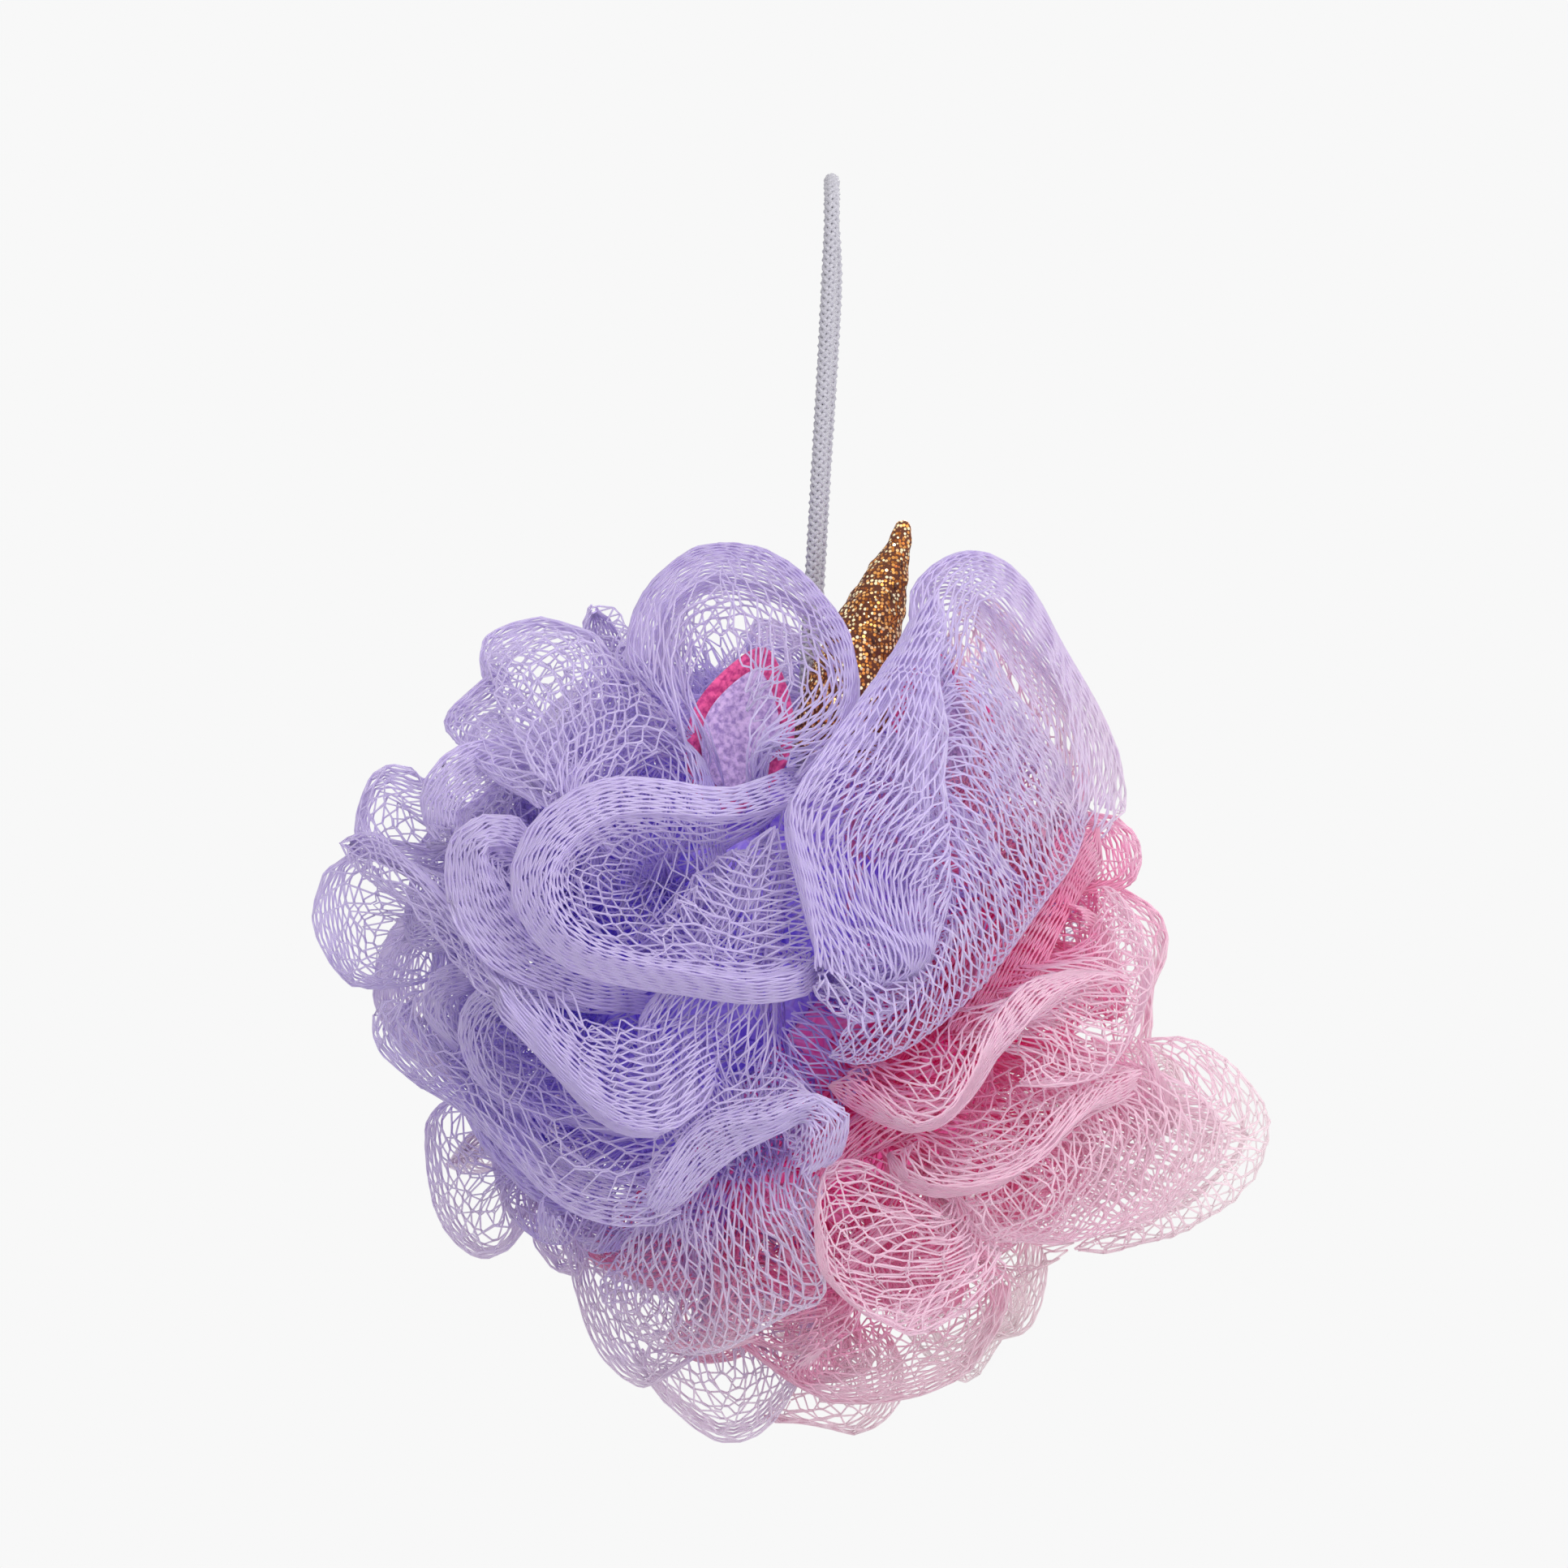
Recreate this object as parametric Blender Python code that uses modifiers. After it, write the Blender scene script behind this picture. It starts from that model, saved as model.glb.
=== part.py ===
"""Bath sponge: two gathered lengths of ruffled net on a hanging cord, with a stuffed horn and two plush ears.

The sponge hangs as in use. The origin is inside the top of the cord's loop, where a hook bears, +Z is up and
the side that the photograph shows looks along -Y. Each net is one solid: its folds are closed lobes with a
rounded rim, gathered into a heart. Their rims are read from the photograph, as (column, row, depth) with
the column and row in its pixels and the depth in mm from the heart towards the viewer.
"""

import math

import bmesh
import bpy
import numpy as np
from mathutils import Matrix, Vector

MM = 0.001

# The photograph, in its own pixels
BALL_WIDTH_PX = 1140
HEART_PX = (970, 1228)
LOOP_TOP_PX = (1025, 213)

# The ball of net
BALL_WIDTH = 125.4 * MM
HEART_RADIUS = 33.0 * MM
HEART_DEPTH = 31.0 * MM
HEART_BASE_COUNT = 4
GATHER = 0.14
WALL_BOW = 0.06
LEAST_HALF_WALL = 1.15 * MM
RIM_ROUNDING = 1.0
NECK_NARROWING = 0.7
END_NARROWING = 0.45
COLUMN_STEP = 6.5 * MM
LEAST_COLUMNS = 5
WALL_ROWS = (0.0, 0.03, 0.08, 0.2, 0.4, 0.65, 1.0)
NET_FINENESS = 1.5 * MM
LILAC_TRIANGLES = 4600
PINK_TRIANGLES = 2300

# The half of the ball that the camera doesn't see: the front folds again, half a turn about the colour axis
COLOUR_AXIS = Vector((0.75, 0.0, -0.66))
COLOUR_SHIFT = 3.0 * MM
BACK_SHRINK = 0.93

# The hanging cord and the knot in the heart
CORD_DIAMETER = 2.2 * MM
CORD_SIDES_RESOLUTION = 2
CORD_POINT_COUNT = 78
LOOP_BEND_RADIUS = 6.5 * MM
KNOT_RADIUS = 4.6 * MM
KNOT_HALF_HEIGHT = 3.2 * MM

# The horn
HORN_BASE_RADIUS = 6.3 * MM
HORN_TIP_RADIUS = 1.25 * MM
HORN_SIDES_RESOLUTION = 3

# The ears
EAR_HALF_WIDTH = 7.1 * MM
EAR_HALF_HEIGHT = 11.5 * MM
EAR_HALF_THICKNESS = 1.7 * MM
EAR_CUP = 2.4 * MM
LINING_SHARE = 0.72
LINING_HALF_THICKNESS = 0.7 * MM

# Gap between pieces that touch
CLEARANCE = 0.3 * MM
WELD_DISTANCE = 0.01 * MM
MOST_CORNER_GROWTH = 2.0
NET_GAP = 1.0 * MM
ROOM_FINENESS = 1.2 * MM
ROOM_TRIANGLES = 5000
RIM_GAPS = (CLEARANCE, 0.15 * MM, 0.05 * MM, 0.01 * MM)

PHOTO_SCALE = BALL_WIDTH / BALL_WIDTH_PX
HEART = Vector((
    (HEART_PX[0] - LOOP_TOP_PX[0]) * PHOTO_SCALE,
    0.0,
    (LOOP_TOP_PX[1] - HEART_PX[1]) * PHOTO_SCALE + CORD_DIAMETER,
))

# Each fold: half its thickness at the rim in mm, its rim, and the line where its wall turns inwards
LILAC_FOLDS = {
    "ring": (2.6, [
        (1012, 948, 38), (960, 970, 50), (900, 986, 54), (830, 976, 56), (760, 975, 57), (700, 1005, 57),
        (664, 1060, 57), (672, 1122, 57), (712, 1170, 57), (780, 1195, 57), (860, 1208, 58), (930, 1216, 58),
        (992, 1204, 55), (1020, 1180, 48),
    ], [(830, 1100, 26)]),
    "ring_wall": (1.2, [
        (740, 1182, 55), (790, 1196, 55), (860, 1210, 56), (930, 1218, 56), (1004, 1210, 54),
    ], [(775, 1172, 52), (838, 1135, 50), (860, 1088, 47), (900, 1062, 46), (990, 1030, 46)]),
    "cone": (1.3, [
        (1128, 770, 38), (1075, 850, 48), (1015, 930, 56), (968, 998, 59), (980, 1080, 60), (1000, 1160, 60),
        (1008, 1205, 57),
    ], [
        (1134, 775, 36), (1140, 850, 44), (1143, 940, 49), (1150, 1030, 51), (1152, 1110, 50), (1125, 1185, 50),
        (1020, 1212, 53),
    ]),
    "cone_foot": (1.3, [
        (1000, 1206, 55), (1040, 1236, 55), (1090, 1242, 53), (1130, 1205, 50), (1152, 1120, 47),
    ], [(1006, 1198, 54), (1012, 1196, 54), (1020, 1194, 54), (1030, 1185, 53), (1040, 1170, 52)]),
    "crest_right": (2.6, [
        (1130, 800, 30), (1120, 745, 28), (1150, 698, 22), (1190, 687, 15), (1236, 716, 10), (1290, 790, 8),
        (1340, 860, 5), (1363, 920, 3), (1360, 980, 0), (1335, 1015, 2),
    ], [(1142, 830, 30), (1150, 900, 34), (1170, 960, 34), (1220, 1010, 28), (1290, 1030, 14), (1330, 1025, 4)]),
    "sheet_right": (1.3, [
        (1338, 1005, 4), (1312, 1060, 20), (1266, 1130, 32), (1214, 1192, 42), (1150, 1250, 48), (1082, 1290, 50),
        (1018, 1292, 50),
    ], [
        (1150, 780, 30), (1150, 880, 40), (1148, 980, 45), (1150, 1060, 47), (1142, 1140, 48), (1112, 1200, 50),
        (1040, 1240, 52),
    ]),
    "lobe_top": (2.4, [
        (985, 965, 46), (1040, 915, 45), (1062, 862, 42), (1050, 800, 38), (1012, 738, 30), (962, 700, 24),
        (910, 689, 20), (855, 698, 18), (806, 735, 18), (786, 785, 20), (790, 840, 22),
    ], [(945, 950, 42), (900, 945, 40), (860, 920, 34)]),
    "lobe_top_back": (2.0, [
        (905, 700, 4), (855, 708, 6), (824, 740, 8), (815, 800, 8), (828, 870, 10), (850, 930, 14),
    ], [(900, 850, 0), (890, 900, 5)]),
    "lobe_top_left": (2.0, [
        (800, 900, 8), (768, 850, 8), (763, 800, 8), (786, 762, 6), (832, 732, 2),
    ], [(850, 900, 5), (860, 850, 0)]),
    "fan_left": (2.2, [
        (600, 812, 14), (640, 800, 18), (700, 790, 20), (748, 812, 22), (800, 862, 26), (858, 905, 32),
    ], [(712, 1012, 46), (722, 1012, 46), (735, 1010, 46)]),
    "lobe_left_top": (2.4, [
        (757, 862, 12), (752, 812, 12), (740, 778, 10), (695, 768, 8), (650, 770, 8), (612, 784, 8), (598, 806, 10),
        (612, 860, 16),
    ], [(720, 960, 20), (690, 950, 20)]),
    "ridge_left": (2.0, [
        (620, 830, 14), (575, 862, 18), (554, 897, 22), (600, 935, 32), (650, 972, 40), (705, 1012, 46),
    ], [(700, 920, 20), (690, 950, 30), (710, 1000, 44)]),
    "band_left_top": (2.8, [
        (700, 920, 28), (642, 925, 34), (588, 945, 37), (552, 985, 37), (548, 1040, 36),
    ], [(680, 1000, 10), (640, 1040, 10)]),
    "band_inner": (2.8, [
        (665, 1030, 44), (618, 1016, 50), (586, 1036, 51), (588, 1085, 51), (606, 1132, 50), (652, 1182, 48),
        (730, 1214, 46), (830, 1228, 45),
    ], [(690, 1090, 15), (720, 1150, 15)]),
    "leaf": (2.2, [
        (440, 1040, 4), (480, 1045, 14), (535, 1070, 26), (578, 1118, 36), (612, 1185, 43), (650, 1262, 47),
        (700, 1330, 50), (760, 1378, 52), (820, 1384, 52), (856, 1352, 50), (866, 1312, 46),
    ], [
        (470, 1060, 6), (560, 1110, 26), (640, 1190, 38), (720, 1216, 42), (800, 1232, 43), (880, 1262, 43),
        (885, 1290, 42),
    ]),
    "lobe_left_up": (2.4, [
        (560, 1062, 8), (490, 1052, 3), (444, 1036, -1), (438, 1000, -3), (456, 957, -4), (482, 953, -4),
        (512, 966, -3), (546, 963, 0), (566, 990, 5),
    ], [(620, 1070, 10)]),
    "lobe_left": (3.0, [
        (475, 1032, 4), (432, 1046, 2), (407, 1092, 1), (402, 1142, 1), (420, 1190, 1), (456, 1218, 1),
        (496, 1226, 3), (545, 1212, 7),
    ], [(530, 1120, 8), (560, 1160, 8)]),
    "petal_low_left": (2.2, [
        (515, 1232, 4), (488, 1277, 7), (540, 1330, 15), (605, 1386, 24), (680, 1440, 32), (750, 1472, 37),
        (820, 1476, 39), (852, 1448, 38),
    ], [(520, 1242, 8), (600, 1236, 20), (680, 1325, 32), (740, 1395, 38), (800, 1415, 40), (845, 1425, 38)]),
    "lobe_low_left": (2.8, [
        (645, 1400, -2), (600, 1352, -5), (556, 1345, -6), (530, 1385, -7), (526, 1440, -7), (540, 1500, -7),
        (576, 1538, -7), (612, 1548, -7), (640, 1522, -6), (656, 1468, -5),
    ], [(660, 1410, 0), (668, 1430, 0)]),
    "lobe_low_left_small": (2.2, [
        (654, 1450, -8), (662, 1510, -9), (682, 1566, -9), (712, 1568, -9), (730, 1530, -7),
    ], [(720, 1430, 0)]),
    "ribbon": (2.4, [
        (818, 1488, 44), (832, 1462, 49), (868, 1420, 52), (918, 1388, 55), (970, 1366, 57), (1012, 1352, 58),
        (1034, 1366, 58), (1024, 1400, 54), (1004, 1440, 48),
    ], [(836, 1360, 40), (850, 1340, 40), (900, 1320, 42), (950, 1320, 44), (980, 1340, 46), (990, 1380, 40)]),
    "curtain": (1.6, [
        (1004, 1430, 46), (1003, 1500, 44), (1016, 1574, 38), (975, 1604, 36), (930, 1636, 30), (880, 1655, 24),
        (800, 1640, 18), (740, 1580, 14),
    ], [
        (1000, 1420, 44), (990, 1420, 44), (960, 1440, 42), (930, 1440, 40), (860, 1460, 36), (800, 1480, 30),
    ]),
    "lobe_bottom": (2.8, [
        (1024, 1570, 12), (1004, 1650, 6), (978, 1712, 1), (945, 1752, -2), (905, 1768, -4), (850, 1748, -4),
        (800, 1706, -4), (770, 1650, -2),
    ], [(900, 1560, 10), (880, 1580, 8)]),
    "lobe_bottom_left": (2.8, [
        (690, 1480, 2), (716, 1560, 2), (730, 1622, 1), (752, 1670, 1), (792, 1698, 1), (840, 1690, 3),
        (880, 1662, 5), (900, 1630, 8),
    ], [(800, 1500, 12), (820, 1520, 12)]),
}
PINK_FOLDS = {
    "s_fold": (2.4, [
        (1010, 1328, 46), (1060, 1358, 50), (1110, 1378, 52), (1160, 1366, 53), (1200, 1320, 52), (1228, 1268, 51),
        (1256, 1222, 49), (1292, 1196, 45), (1345, 1182, 38), (1385, 1200, 30),
    ], [(1040, 1308, 40), (1100, 1318, 44), (1150, 1300, 44), (1180, 1262, 42), (1220, 1240, 38), (1290, 1240, 30)]),
    "roll": (2.4, [
        (1236, 1332, 45), (1290, 1334, 46), (1342, 1318, 42), (1386, 1284, 36), (1405, 1230, 30), (1400, 1170, 24),
        (1376, 1112, 18), (1345, 1090, 14),
    ], [(1236, 1290, 40), (1244, 1262, 40), (1250, 1240, 38), (1262, 1220, 36), (1280, 1200, 32), (1300, 1180, 26)]),
    "loop": (2.0, [
        (1085, 1405, 42), (1112, 1440, 46), (1160, 1457, 49), (1212, 1450, 50), (1262, 1420, 48), (1312, 1376, 45),
        (1362, 1340, 38), (1405, 1318, 30),
    ], [(1110, 1400, 36), (1150, 1390, 38), (1200, 1380, 40), (1250, 1350, 40), (1300, 1330, 36), (1350, 1310, 28)]),
    "frill_right": (1.6, [
        (1400, 1275, 10), (1450, 1274, 8), (1492, 1300, 5), (1526, 1340, 2), (1540, 1386, 0), (1526, 1432, 0),
        (1490, 1470, 1), (1440, 1498, 3), (1380, 1518, 6), (1320, 1536, 9),
    ], [(1440, 1340, 14), (1486, 1386, 8), (1492, 1392, 8), (1440, 1450, 12), (1360, 1490, 16)]),
    "sheet_low_right": (1.8, [
        (1484, 1396, 9), (1470, 1440, 13), (1402, 1490, 20), (1302, 1516, 28), (1232, 1508, 34), (1176, 1480, 38),
    ], [(1470, 1384, 9), (1420, 1335, 18), (1350, 1345, 30), (1285, 1392, 40), (1225, 1435, 44), (1180, 1462, 44)]),
    "apron": (2.0, [
        (1060, 1425, 42), (1010, 1428, 46), (1003, 1480, 48), (1004, 1545, 48), (1034, 1582, 47), (1082, 1610, 46),
        (1108, 1614, 45), (1160, 1580, 42),
    ], [(1150, 1470, 40), (1190, 1495, 38), (1200, 1508, 38), (1200, 1520, 38)]),
    "lobe_low_right": (2.8, [
        (900, 1650, 12), (960, 1700, 9), (1040, 1722, 6), (1112, 1716, 4), (1182, 1680, 3), (1234, 1622, 2),
        (1246, 1556, 3),
    ], [(1060, 1530, 16), (1120, 1500, 16)]),
    "lobe_low": (2.6, [
        (940, 1748, -4), (1000, 1768, -5), (1050, 1766, -6), (1092, 1742, -6), (1106, 1690, -5), (1102, 1630, -3),
    ], [(1030, 1590, 2)]),
    "lobe_right_low": (2.2, [
        (1330, 1530, -6), (1286, 1532, -9), (1284, 1582, -10), (1266, 1626, -10), (1230, 1656, -10), (1190, 1660, -9),
    ], [(1200, 1530, -2)]),
    "lobe_right_high": (2.2, [
        (1310, 1000, -2), (1350, 1002, -3), (1382, 1022, -3), (1394, 1052, -3), (1390, 1084, -1), (1350, 1110, 4),
    ], [(1260, 1110, 10)]),
    "lobe_right": (2.4, [
        (1360, 1086, -6), (1410, 1108, -7), (1432, 1132, -8), (1436, 1182, -8), (1427, 1232, -8), (1416, 1280, -6),
        (1400, 1330, -4),
    ], [(1280, 1200, 0)]),
    "valley": (3.6, [
        (1350, 1015, 10), (1312, 1080, 22), (1272, 1150, 31), (1224, 1230, 36), (1182, 1300, 38),
    ], [(1240, 1080, 0), (1180, 1150, 5), (1150, 1200, 8)]),
}

# The folds at the ball's edge, which show from both sides and aren't repeated behind
EDGE_FOLDS = (
    "crest_right", "lobe_top_back", "lobe_top_left", "lobe_left_top", "lobe_left_up", "lobe_left", "lobe_low_left",
    "lobe_low_left_small", "lobe_bottom", "lobe_bottom_left", "frill_right", "lobe_low_right", "lobe_low",
    "lobe_right_low", "lobe_right_high", "lobe_right",
)

# The folds that cross from the front to the back: angle in degrees about the heart as the photograph shows it
# from the right upwards, radius in mm, and the depths in mm where the rim starts and ends
LILAC_BELT = [
    (50, 50, -30, 26), (72, 41, -32, 6), (100, 46, -32, 8), (121, 51, -30, 26), (141, 50, -28, 30),
    (160, 54, -30, 28), (179, 49, -28, 30), (198, 47, -30, 28), (217, 48, -28, 30),
]
PINK_BELT = [
    (240, 45, -30, 28), (258, 51, -28, 30), (276, 53, -30, 28), (294, 48, -28, 30), (312, 44, -30, 28),
    (330, 46, -28, 30), (346, 56, -30, 28), (366, 46, -28, 30), (386, 45, -30, 28),
]
BELT_HALF_WALL = 2.2
BELT_SWING = 7.0
BELT_LEAN = 5.0
BELT_POINTS = 7

# The horn's middle line and its radius at each point as a share of the base's, and where each ear stands
HORN_LINE = [
    ((1026, 932, 15), 1.0), ((1034, 890, 15.5), 1.0), ((1046, 850, 15.5), 0.98), ((1060, 805, 15), 0.86),
    ((1076, 757, 14), 0.7), ((1094, 709, 12.5), 0.47), ((1106, 675, 11.5), 0.28), ((1111, 655, 11), 0.2),
]
EARS = {"ear_left": ((915, 901, 25.3), 15.0), "ear_right": ((1160, 902, 12), -12.0)}

# The cord from the knot up and over the hook to the knot again, in mm: right, towards the viewer, up
CORD_UP = [
    (-4.9, 1.9, -100.7), (-4.6, 3.0, -92.0), (-4.1, 4.4, -80.0), (-3.4, 5.6, -66.0), (-2.6, 6.2, -52.0),
    (-1.8, 6.4, -38.0), (-1.0, 6.5, -24.0), (-0.4, 6.5, -12.0),
]
CORD_DOWN = [
    (0.4, -6.5, -12.0), (-0.2, -6.5, -24.0), (-1.1, -6.4, -38.0), (-1.9, -6.2, -52.0), (-2.8, -5.6, -66.0),
    (-3.6, -4.4, -80.0), (-4.3, -3.0, -92.0), (-4.7, -1.9, -100.7),
]


def clear_scene():
    for thing in list(bpy.data.objects):
        bpy.data.objects.remove(thing)


def material(name, colour, roughness, metallic=0.0):
    made = bpy.data.materials.new(name)
    made.use_nodes = True
    shader = made.node_tree.nodes["Principled BSDF"]
    shader.inputs["Base Color"].default_value = (*colour, 1.0)
    shader.inputs["Roughness"].default_value = roughness
    shader.inputs["Metallic"].default_value = metallic
    made.diffuse_color = (*colour, 1.0)
    return made


def at_photo(column, row, depth):
    """The place of a photograph point: its column and row in pixels, and its depth in mm from the heart."""
    return Vector((
        (column - LOOP_TOP_PX[0]) * PHOTO_SCALE,
        -depth * MM,
        (LOOP_TOP_PX[1] - row) * PHOTO_SCALE + CORD_DIAMETER,
    ))


def smooth_line(points, count):
    """`count` points spaced evenly along a smooth curve through the given ones."""
    given = np.array([tuple(p) for p in points], float)
    if len(given) == 1:
        return np.repeat(given, count, axis=0)
    padded = np.vstack([2 * given[0] - given[1], given, 2 * given[-1] - given[-2]])
    t = np.linspace(0, 1, 16, endpoint=False)[:, None]
    fine = []
    for before, start, end, after in zip(padded, padded[1:], padded[2:], padded[3:]):
        fine.append(0.5 * (
            2 * start
            + (end - before) * t
            + (2 * before - 5 * start + 4 * end - after) * t ** 2
            + (3 * start - before - 3 * end + after) * t ** 3
        ))
    fine = np.vstack(fine + [given[-1:]])
    along = np.concatenate([[0], np.cumsum(np.linalg.norm(np.diff(fine, axis=0), axis=1))])
    wanted = np.linspace(0, along[-1], count)
    return np.stack([np.interp(wanted, along, fine[:, axis]) for axis in range(3)], axis=1)


def unit(vectors):
    return vectors / np.maximum(np.linalg.norm(vectors, axis=-1, keepdims=True), 1e-12)


def fold_walls(rim, turn):
    """A fold's middle surface, as a grid of points from the rim in to the heart, and its normals."""
    rim = [at_photo(*p) for p in rim]
    turn = [at_photo(*p) for p in turn]
    length = sum((b - a).length for a, b in zip(rim, rim[1:]))
    columns = max(LEAST_COLUMNS, round(length / COLUMN_STEP) + 1)
    outer = smooth_line(rim, columns)
    inner = smooth_line(turn, columns)
    heart = np.array(HEART)
    middle = 0.5 * (outer + inner)
    middle += WALL_BOW * (middle - heart)
    deep = heart + GATHER * (inner - heart)
    lines = [smooth_line(line, 40) for line in zip(outer, middle, inner, deep)]
    rows = np.round(np.array(WALL_ROWS) * 39).astype(int)
    grid = np.array(lines)
    normals = unit(np.cross(np.gradient(grid, axis=0), np.gradient(grid, axis=1)))
    for _ in range(2):
        normals[1:-1] = unit(normals[:-2] + 2 * normals[1:-1] + normals[2:])
    depths = np.concatenate(
        [np.zeros((columns, 1)), np.cumsum(np.linalg.norm(np.diff(grid, axis=1), axis=2), axis=1)], axis=1,
    )
    return grid[:, rows], normals[:, rows], depths[:, rows]


def half_wall(depth, half, length):
    """Half a fold's thickness at a depth below its rim: rounded at the rim, narrower towards the heart."""
    cap = RIM_ROUNDING * half
    rounded = np.sqrt(1 - (1 - np.clip(depth / cap, 0, 1)) ** 2)
    neck = 1 - NECK_NARROWING * np.clip((depth - cap) / (length - cap), 0, 1)
    return np.maximum(half * neck, LEAST_HALF_WALL) * rounded


def add_fold(mesh, half, rim, turn, turned=None):
    """Adds one fold to the mesh as a closed lobe."""
    grid, normals, depths = fold_walls(rim, turn)
    half = np.array([[half_wall(d, half * MM, line[-1]) for d in line] for line in depths])
    half[[0, -1]] *= END_NARROWING
    front = grid + normals * half[..., None]
    back = grid - normals * half[..., None]
    loops = []
    for column in range(len(grid)):
        section = list(front[column]) + list(back[column][:0:-1])
        places = [Vector(p) for p in section]
        if turned:
            places = [turned @ p for p in places]
        loops.append([mesh.verts.new(p) for p in places])
    for left, right in zip(loops, loops[1:]):
        count = len(left)
        for k in range(count):
            mesh.faces.new((left[k], left[(k + 1) % count], right[(k + 1) % count], right[k]))
    mesh.faces.new(loops[0][::-1])
    mesh.faces.new(loops[-1])


def belt_fold(angle, radius, start, end):
    """The rim and turn of a fold that crosses from back to front in a wave."""
    rim = []
    turn = []
    for k in range(BELT_POINTS):
        t = k / (BELT_POINTS - 1)
        swing = BELT_SWING * math.sin(2 * math.pi * t + angle) + BELT_LEAN * (2 * t - 1)
        heading = math.radians(angle + swing)
        reach = radius * MM / PHOTO_SCALE * (1 - 0.12 * (2 * t - 1) ** 2)
        depth = start + (end - start) * t
        rim.append((HEART_PX[0] + reach * math.cos(heading), HEART_PX[1] - reach * math.sin(heading), depth))
        base = math.radians(angle)
        turn.append((
            HEART_PX[0] + 0.4 * reach * math.cos(base), HEART_PX[1] - 0.4 * reach * math.sin(base), 0.45 * depth,
        ))
    return rim, turn[::3]


def back_turn():
    """Half a turn about the colour axis, through the heart, a little smaller."""
    about = Matrix.Rotation(math.pi, 4, COLOUR_AXIS.normalized()) @ Matrix.Scale(BACK_SHRINK, 4)
    return Matrix.Translation(HEART) @ about @ Matrix.Translation(-HEART)


def object_from(mesh, name, home, paint=None):
    bmesh.ops.recalc_face_normals(mesh, faces=mesh.faces)
    data = bpy.data.meshes.new(name)
    mesh.to_mesh(data)
    mesh.free()
    made = bpy.data.objects.new(name, data)
    if paint:
        data.materials.append(paint)
    home.objects.link(made)
    return made


def settled(thing):
    """Replaces the object's mesh by its modifiers' result, keeping its largest closed surface."""
    graph = bpy.context.evaluated_depsgraph_get()
    data = bpy.data.meshes.new_from_object(thing.evaluated_get(graph))
    thing.modifiers.clear()
    mesh = bmesh.new()
    mesh.from_mesh(data)
    left = set(mesh.faces)
    shells = []
    while left:
        shell = [left.pop()]
        for face in shell:
            near = {other for edge in face.edges for other in edge.link_faces} & left
            left -= near
            shell.extend(near)
        shells.append(shell)
    shells.sort(key=len)
    bmesh.ops.delete(mesh, geom=[face for shell in shells[:-1] for face in shell], context="FACES")
    mesh.to_mesh(data)
    mesh.free()
    old = thing.data
    thing.data = data
    bpy.data.meshes.remove(old)


def one_surface(thing, fineness, triangles):
    """Makes crossing lobes one closed surface, of about that many triangles."""
    remesh = thing.modifiers.new("one surface", "REMESH")
    remesh.mode = "VOXEL"
    remesh.voxel_size = fineness
    settled(thing)
    thin = thing.modifiers.new("fewer faces", "DECIMATE")
    thin.ratio = triangles / sum(len(face.vertices) - 2 for face in thing.data.polygons)
    settled(thing)


def cut(thing, cutter, solver="EXACT"):
    modifier = thing.modifiers.new("cut by " + cutter.name, "BOOLEAN")
    modifier.operation = "DIFFERENCE"
    modifier.solver = solver
    modifier.object = cutter
    settled(thing)


def grown(thing, home, by):
    """A copy of a piece, larger all round, to cut its room out of a neighbour."""
    graph = bpy.context.evaluated_depsgraph_get()
    data = bpy.data.meshes.new_from_object(thing.evaluated_get(graph))
    mesh = bmesh.new()
    mesh.from_mesh(data)
    bmesh.ops.transform(mesh, matrix=thing.matrix_world, verts=mesh.verts)
    bmesh.ops.remove_doubles(mesh, verts=mesh.verts, dist=WELD_DISTANCE)
    bmesh.ops.recalc_face_normals(mesh, faces=mesh.faces)
    mesh.normal_update()
    for vert in mesh.verts:
        vert.co += vert.normal * by * min(vert.calc_shell_factor(), MOST_CORNER_GROWTH)
    room = object_from(mesh, "room for " + thing.name, home)
    room.hide_render = True
    room.display_type = "WIRE"
    return room


def make_net(name, folds, belt, side, triangles, home, paint):
    """One gathered net: its folds in front and again behind, those at its edge and between, and its half heart."""
    mesh = bmesh.new()
    for wave in belt:
        add_fold(mesh, BELT_HALF_WALL, *belt_fold(*wave))
    for fold, (half, rim, turn) in folds.items():
        add_fold(mesh, half, rim, turn)
        if fold not in EDGE_FOLDS:
            add_fold(mesh, half, rim, turn, back_turn())
    ball = bmesh.ops.create_icosphere(mesh, subdivisions=HEART_BASE_COUNT, radius=1.0)["verts"]
    shape = Matrix.Diagonal((HEART_RADIUS, HEART_DEPTH, HEART_RADIUS, 1.0))
    bmesh.ops.transform(mesh, matrix=Matrix.Translation(HEART) @ shape, verts=ball)
    axis = COLOUR_AXIS.normalized()
    faces = list({face for vert in ball for face in vert.link_faces})
    edges = list({edge for vert in ball for edge in vert.link_edges})
    parting = bmesh.ops.bisect_plane(
        mesh,
        geom=ball + edges + faces,
        plane_co=HEART + axis * COLOUR_SHIFT,
        plane_no=axis * side,
        clear_outer=True,
    )["geom_cut"]
    bmesh.ops.edgeloop_fill(mesh, edges=[g for g in parting if isinstance(g, bmesh.types.BMEdge)])
    net = object_from(mesh, name, home, paint)
    one_surface(net, NET_FINENESS, triangles)
    return net


def tube(name, points, radii, resolution, home, paint):
    data = bpy.data.curves.new(name, "CURVE")
    data.dimensions = "3D"
    data.bevel_depth = 1.0
    data.bevel_resolution = resolution
    data.use_fill_caps = True
    spline = data.splines.new("POLY")
    spline.points.add(len(points) - 1)
    for point, place, radius in zip(spline.points, points, radii):
        point.co = (*place, 1.0)
        point.radius = radius
    made = bpy.data.objects.new(name, data)
    data.materials.append(paint)
    home.objects.link(made)
    return made


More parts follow.
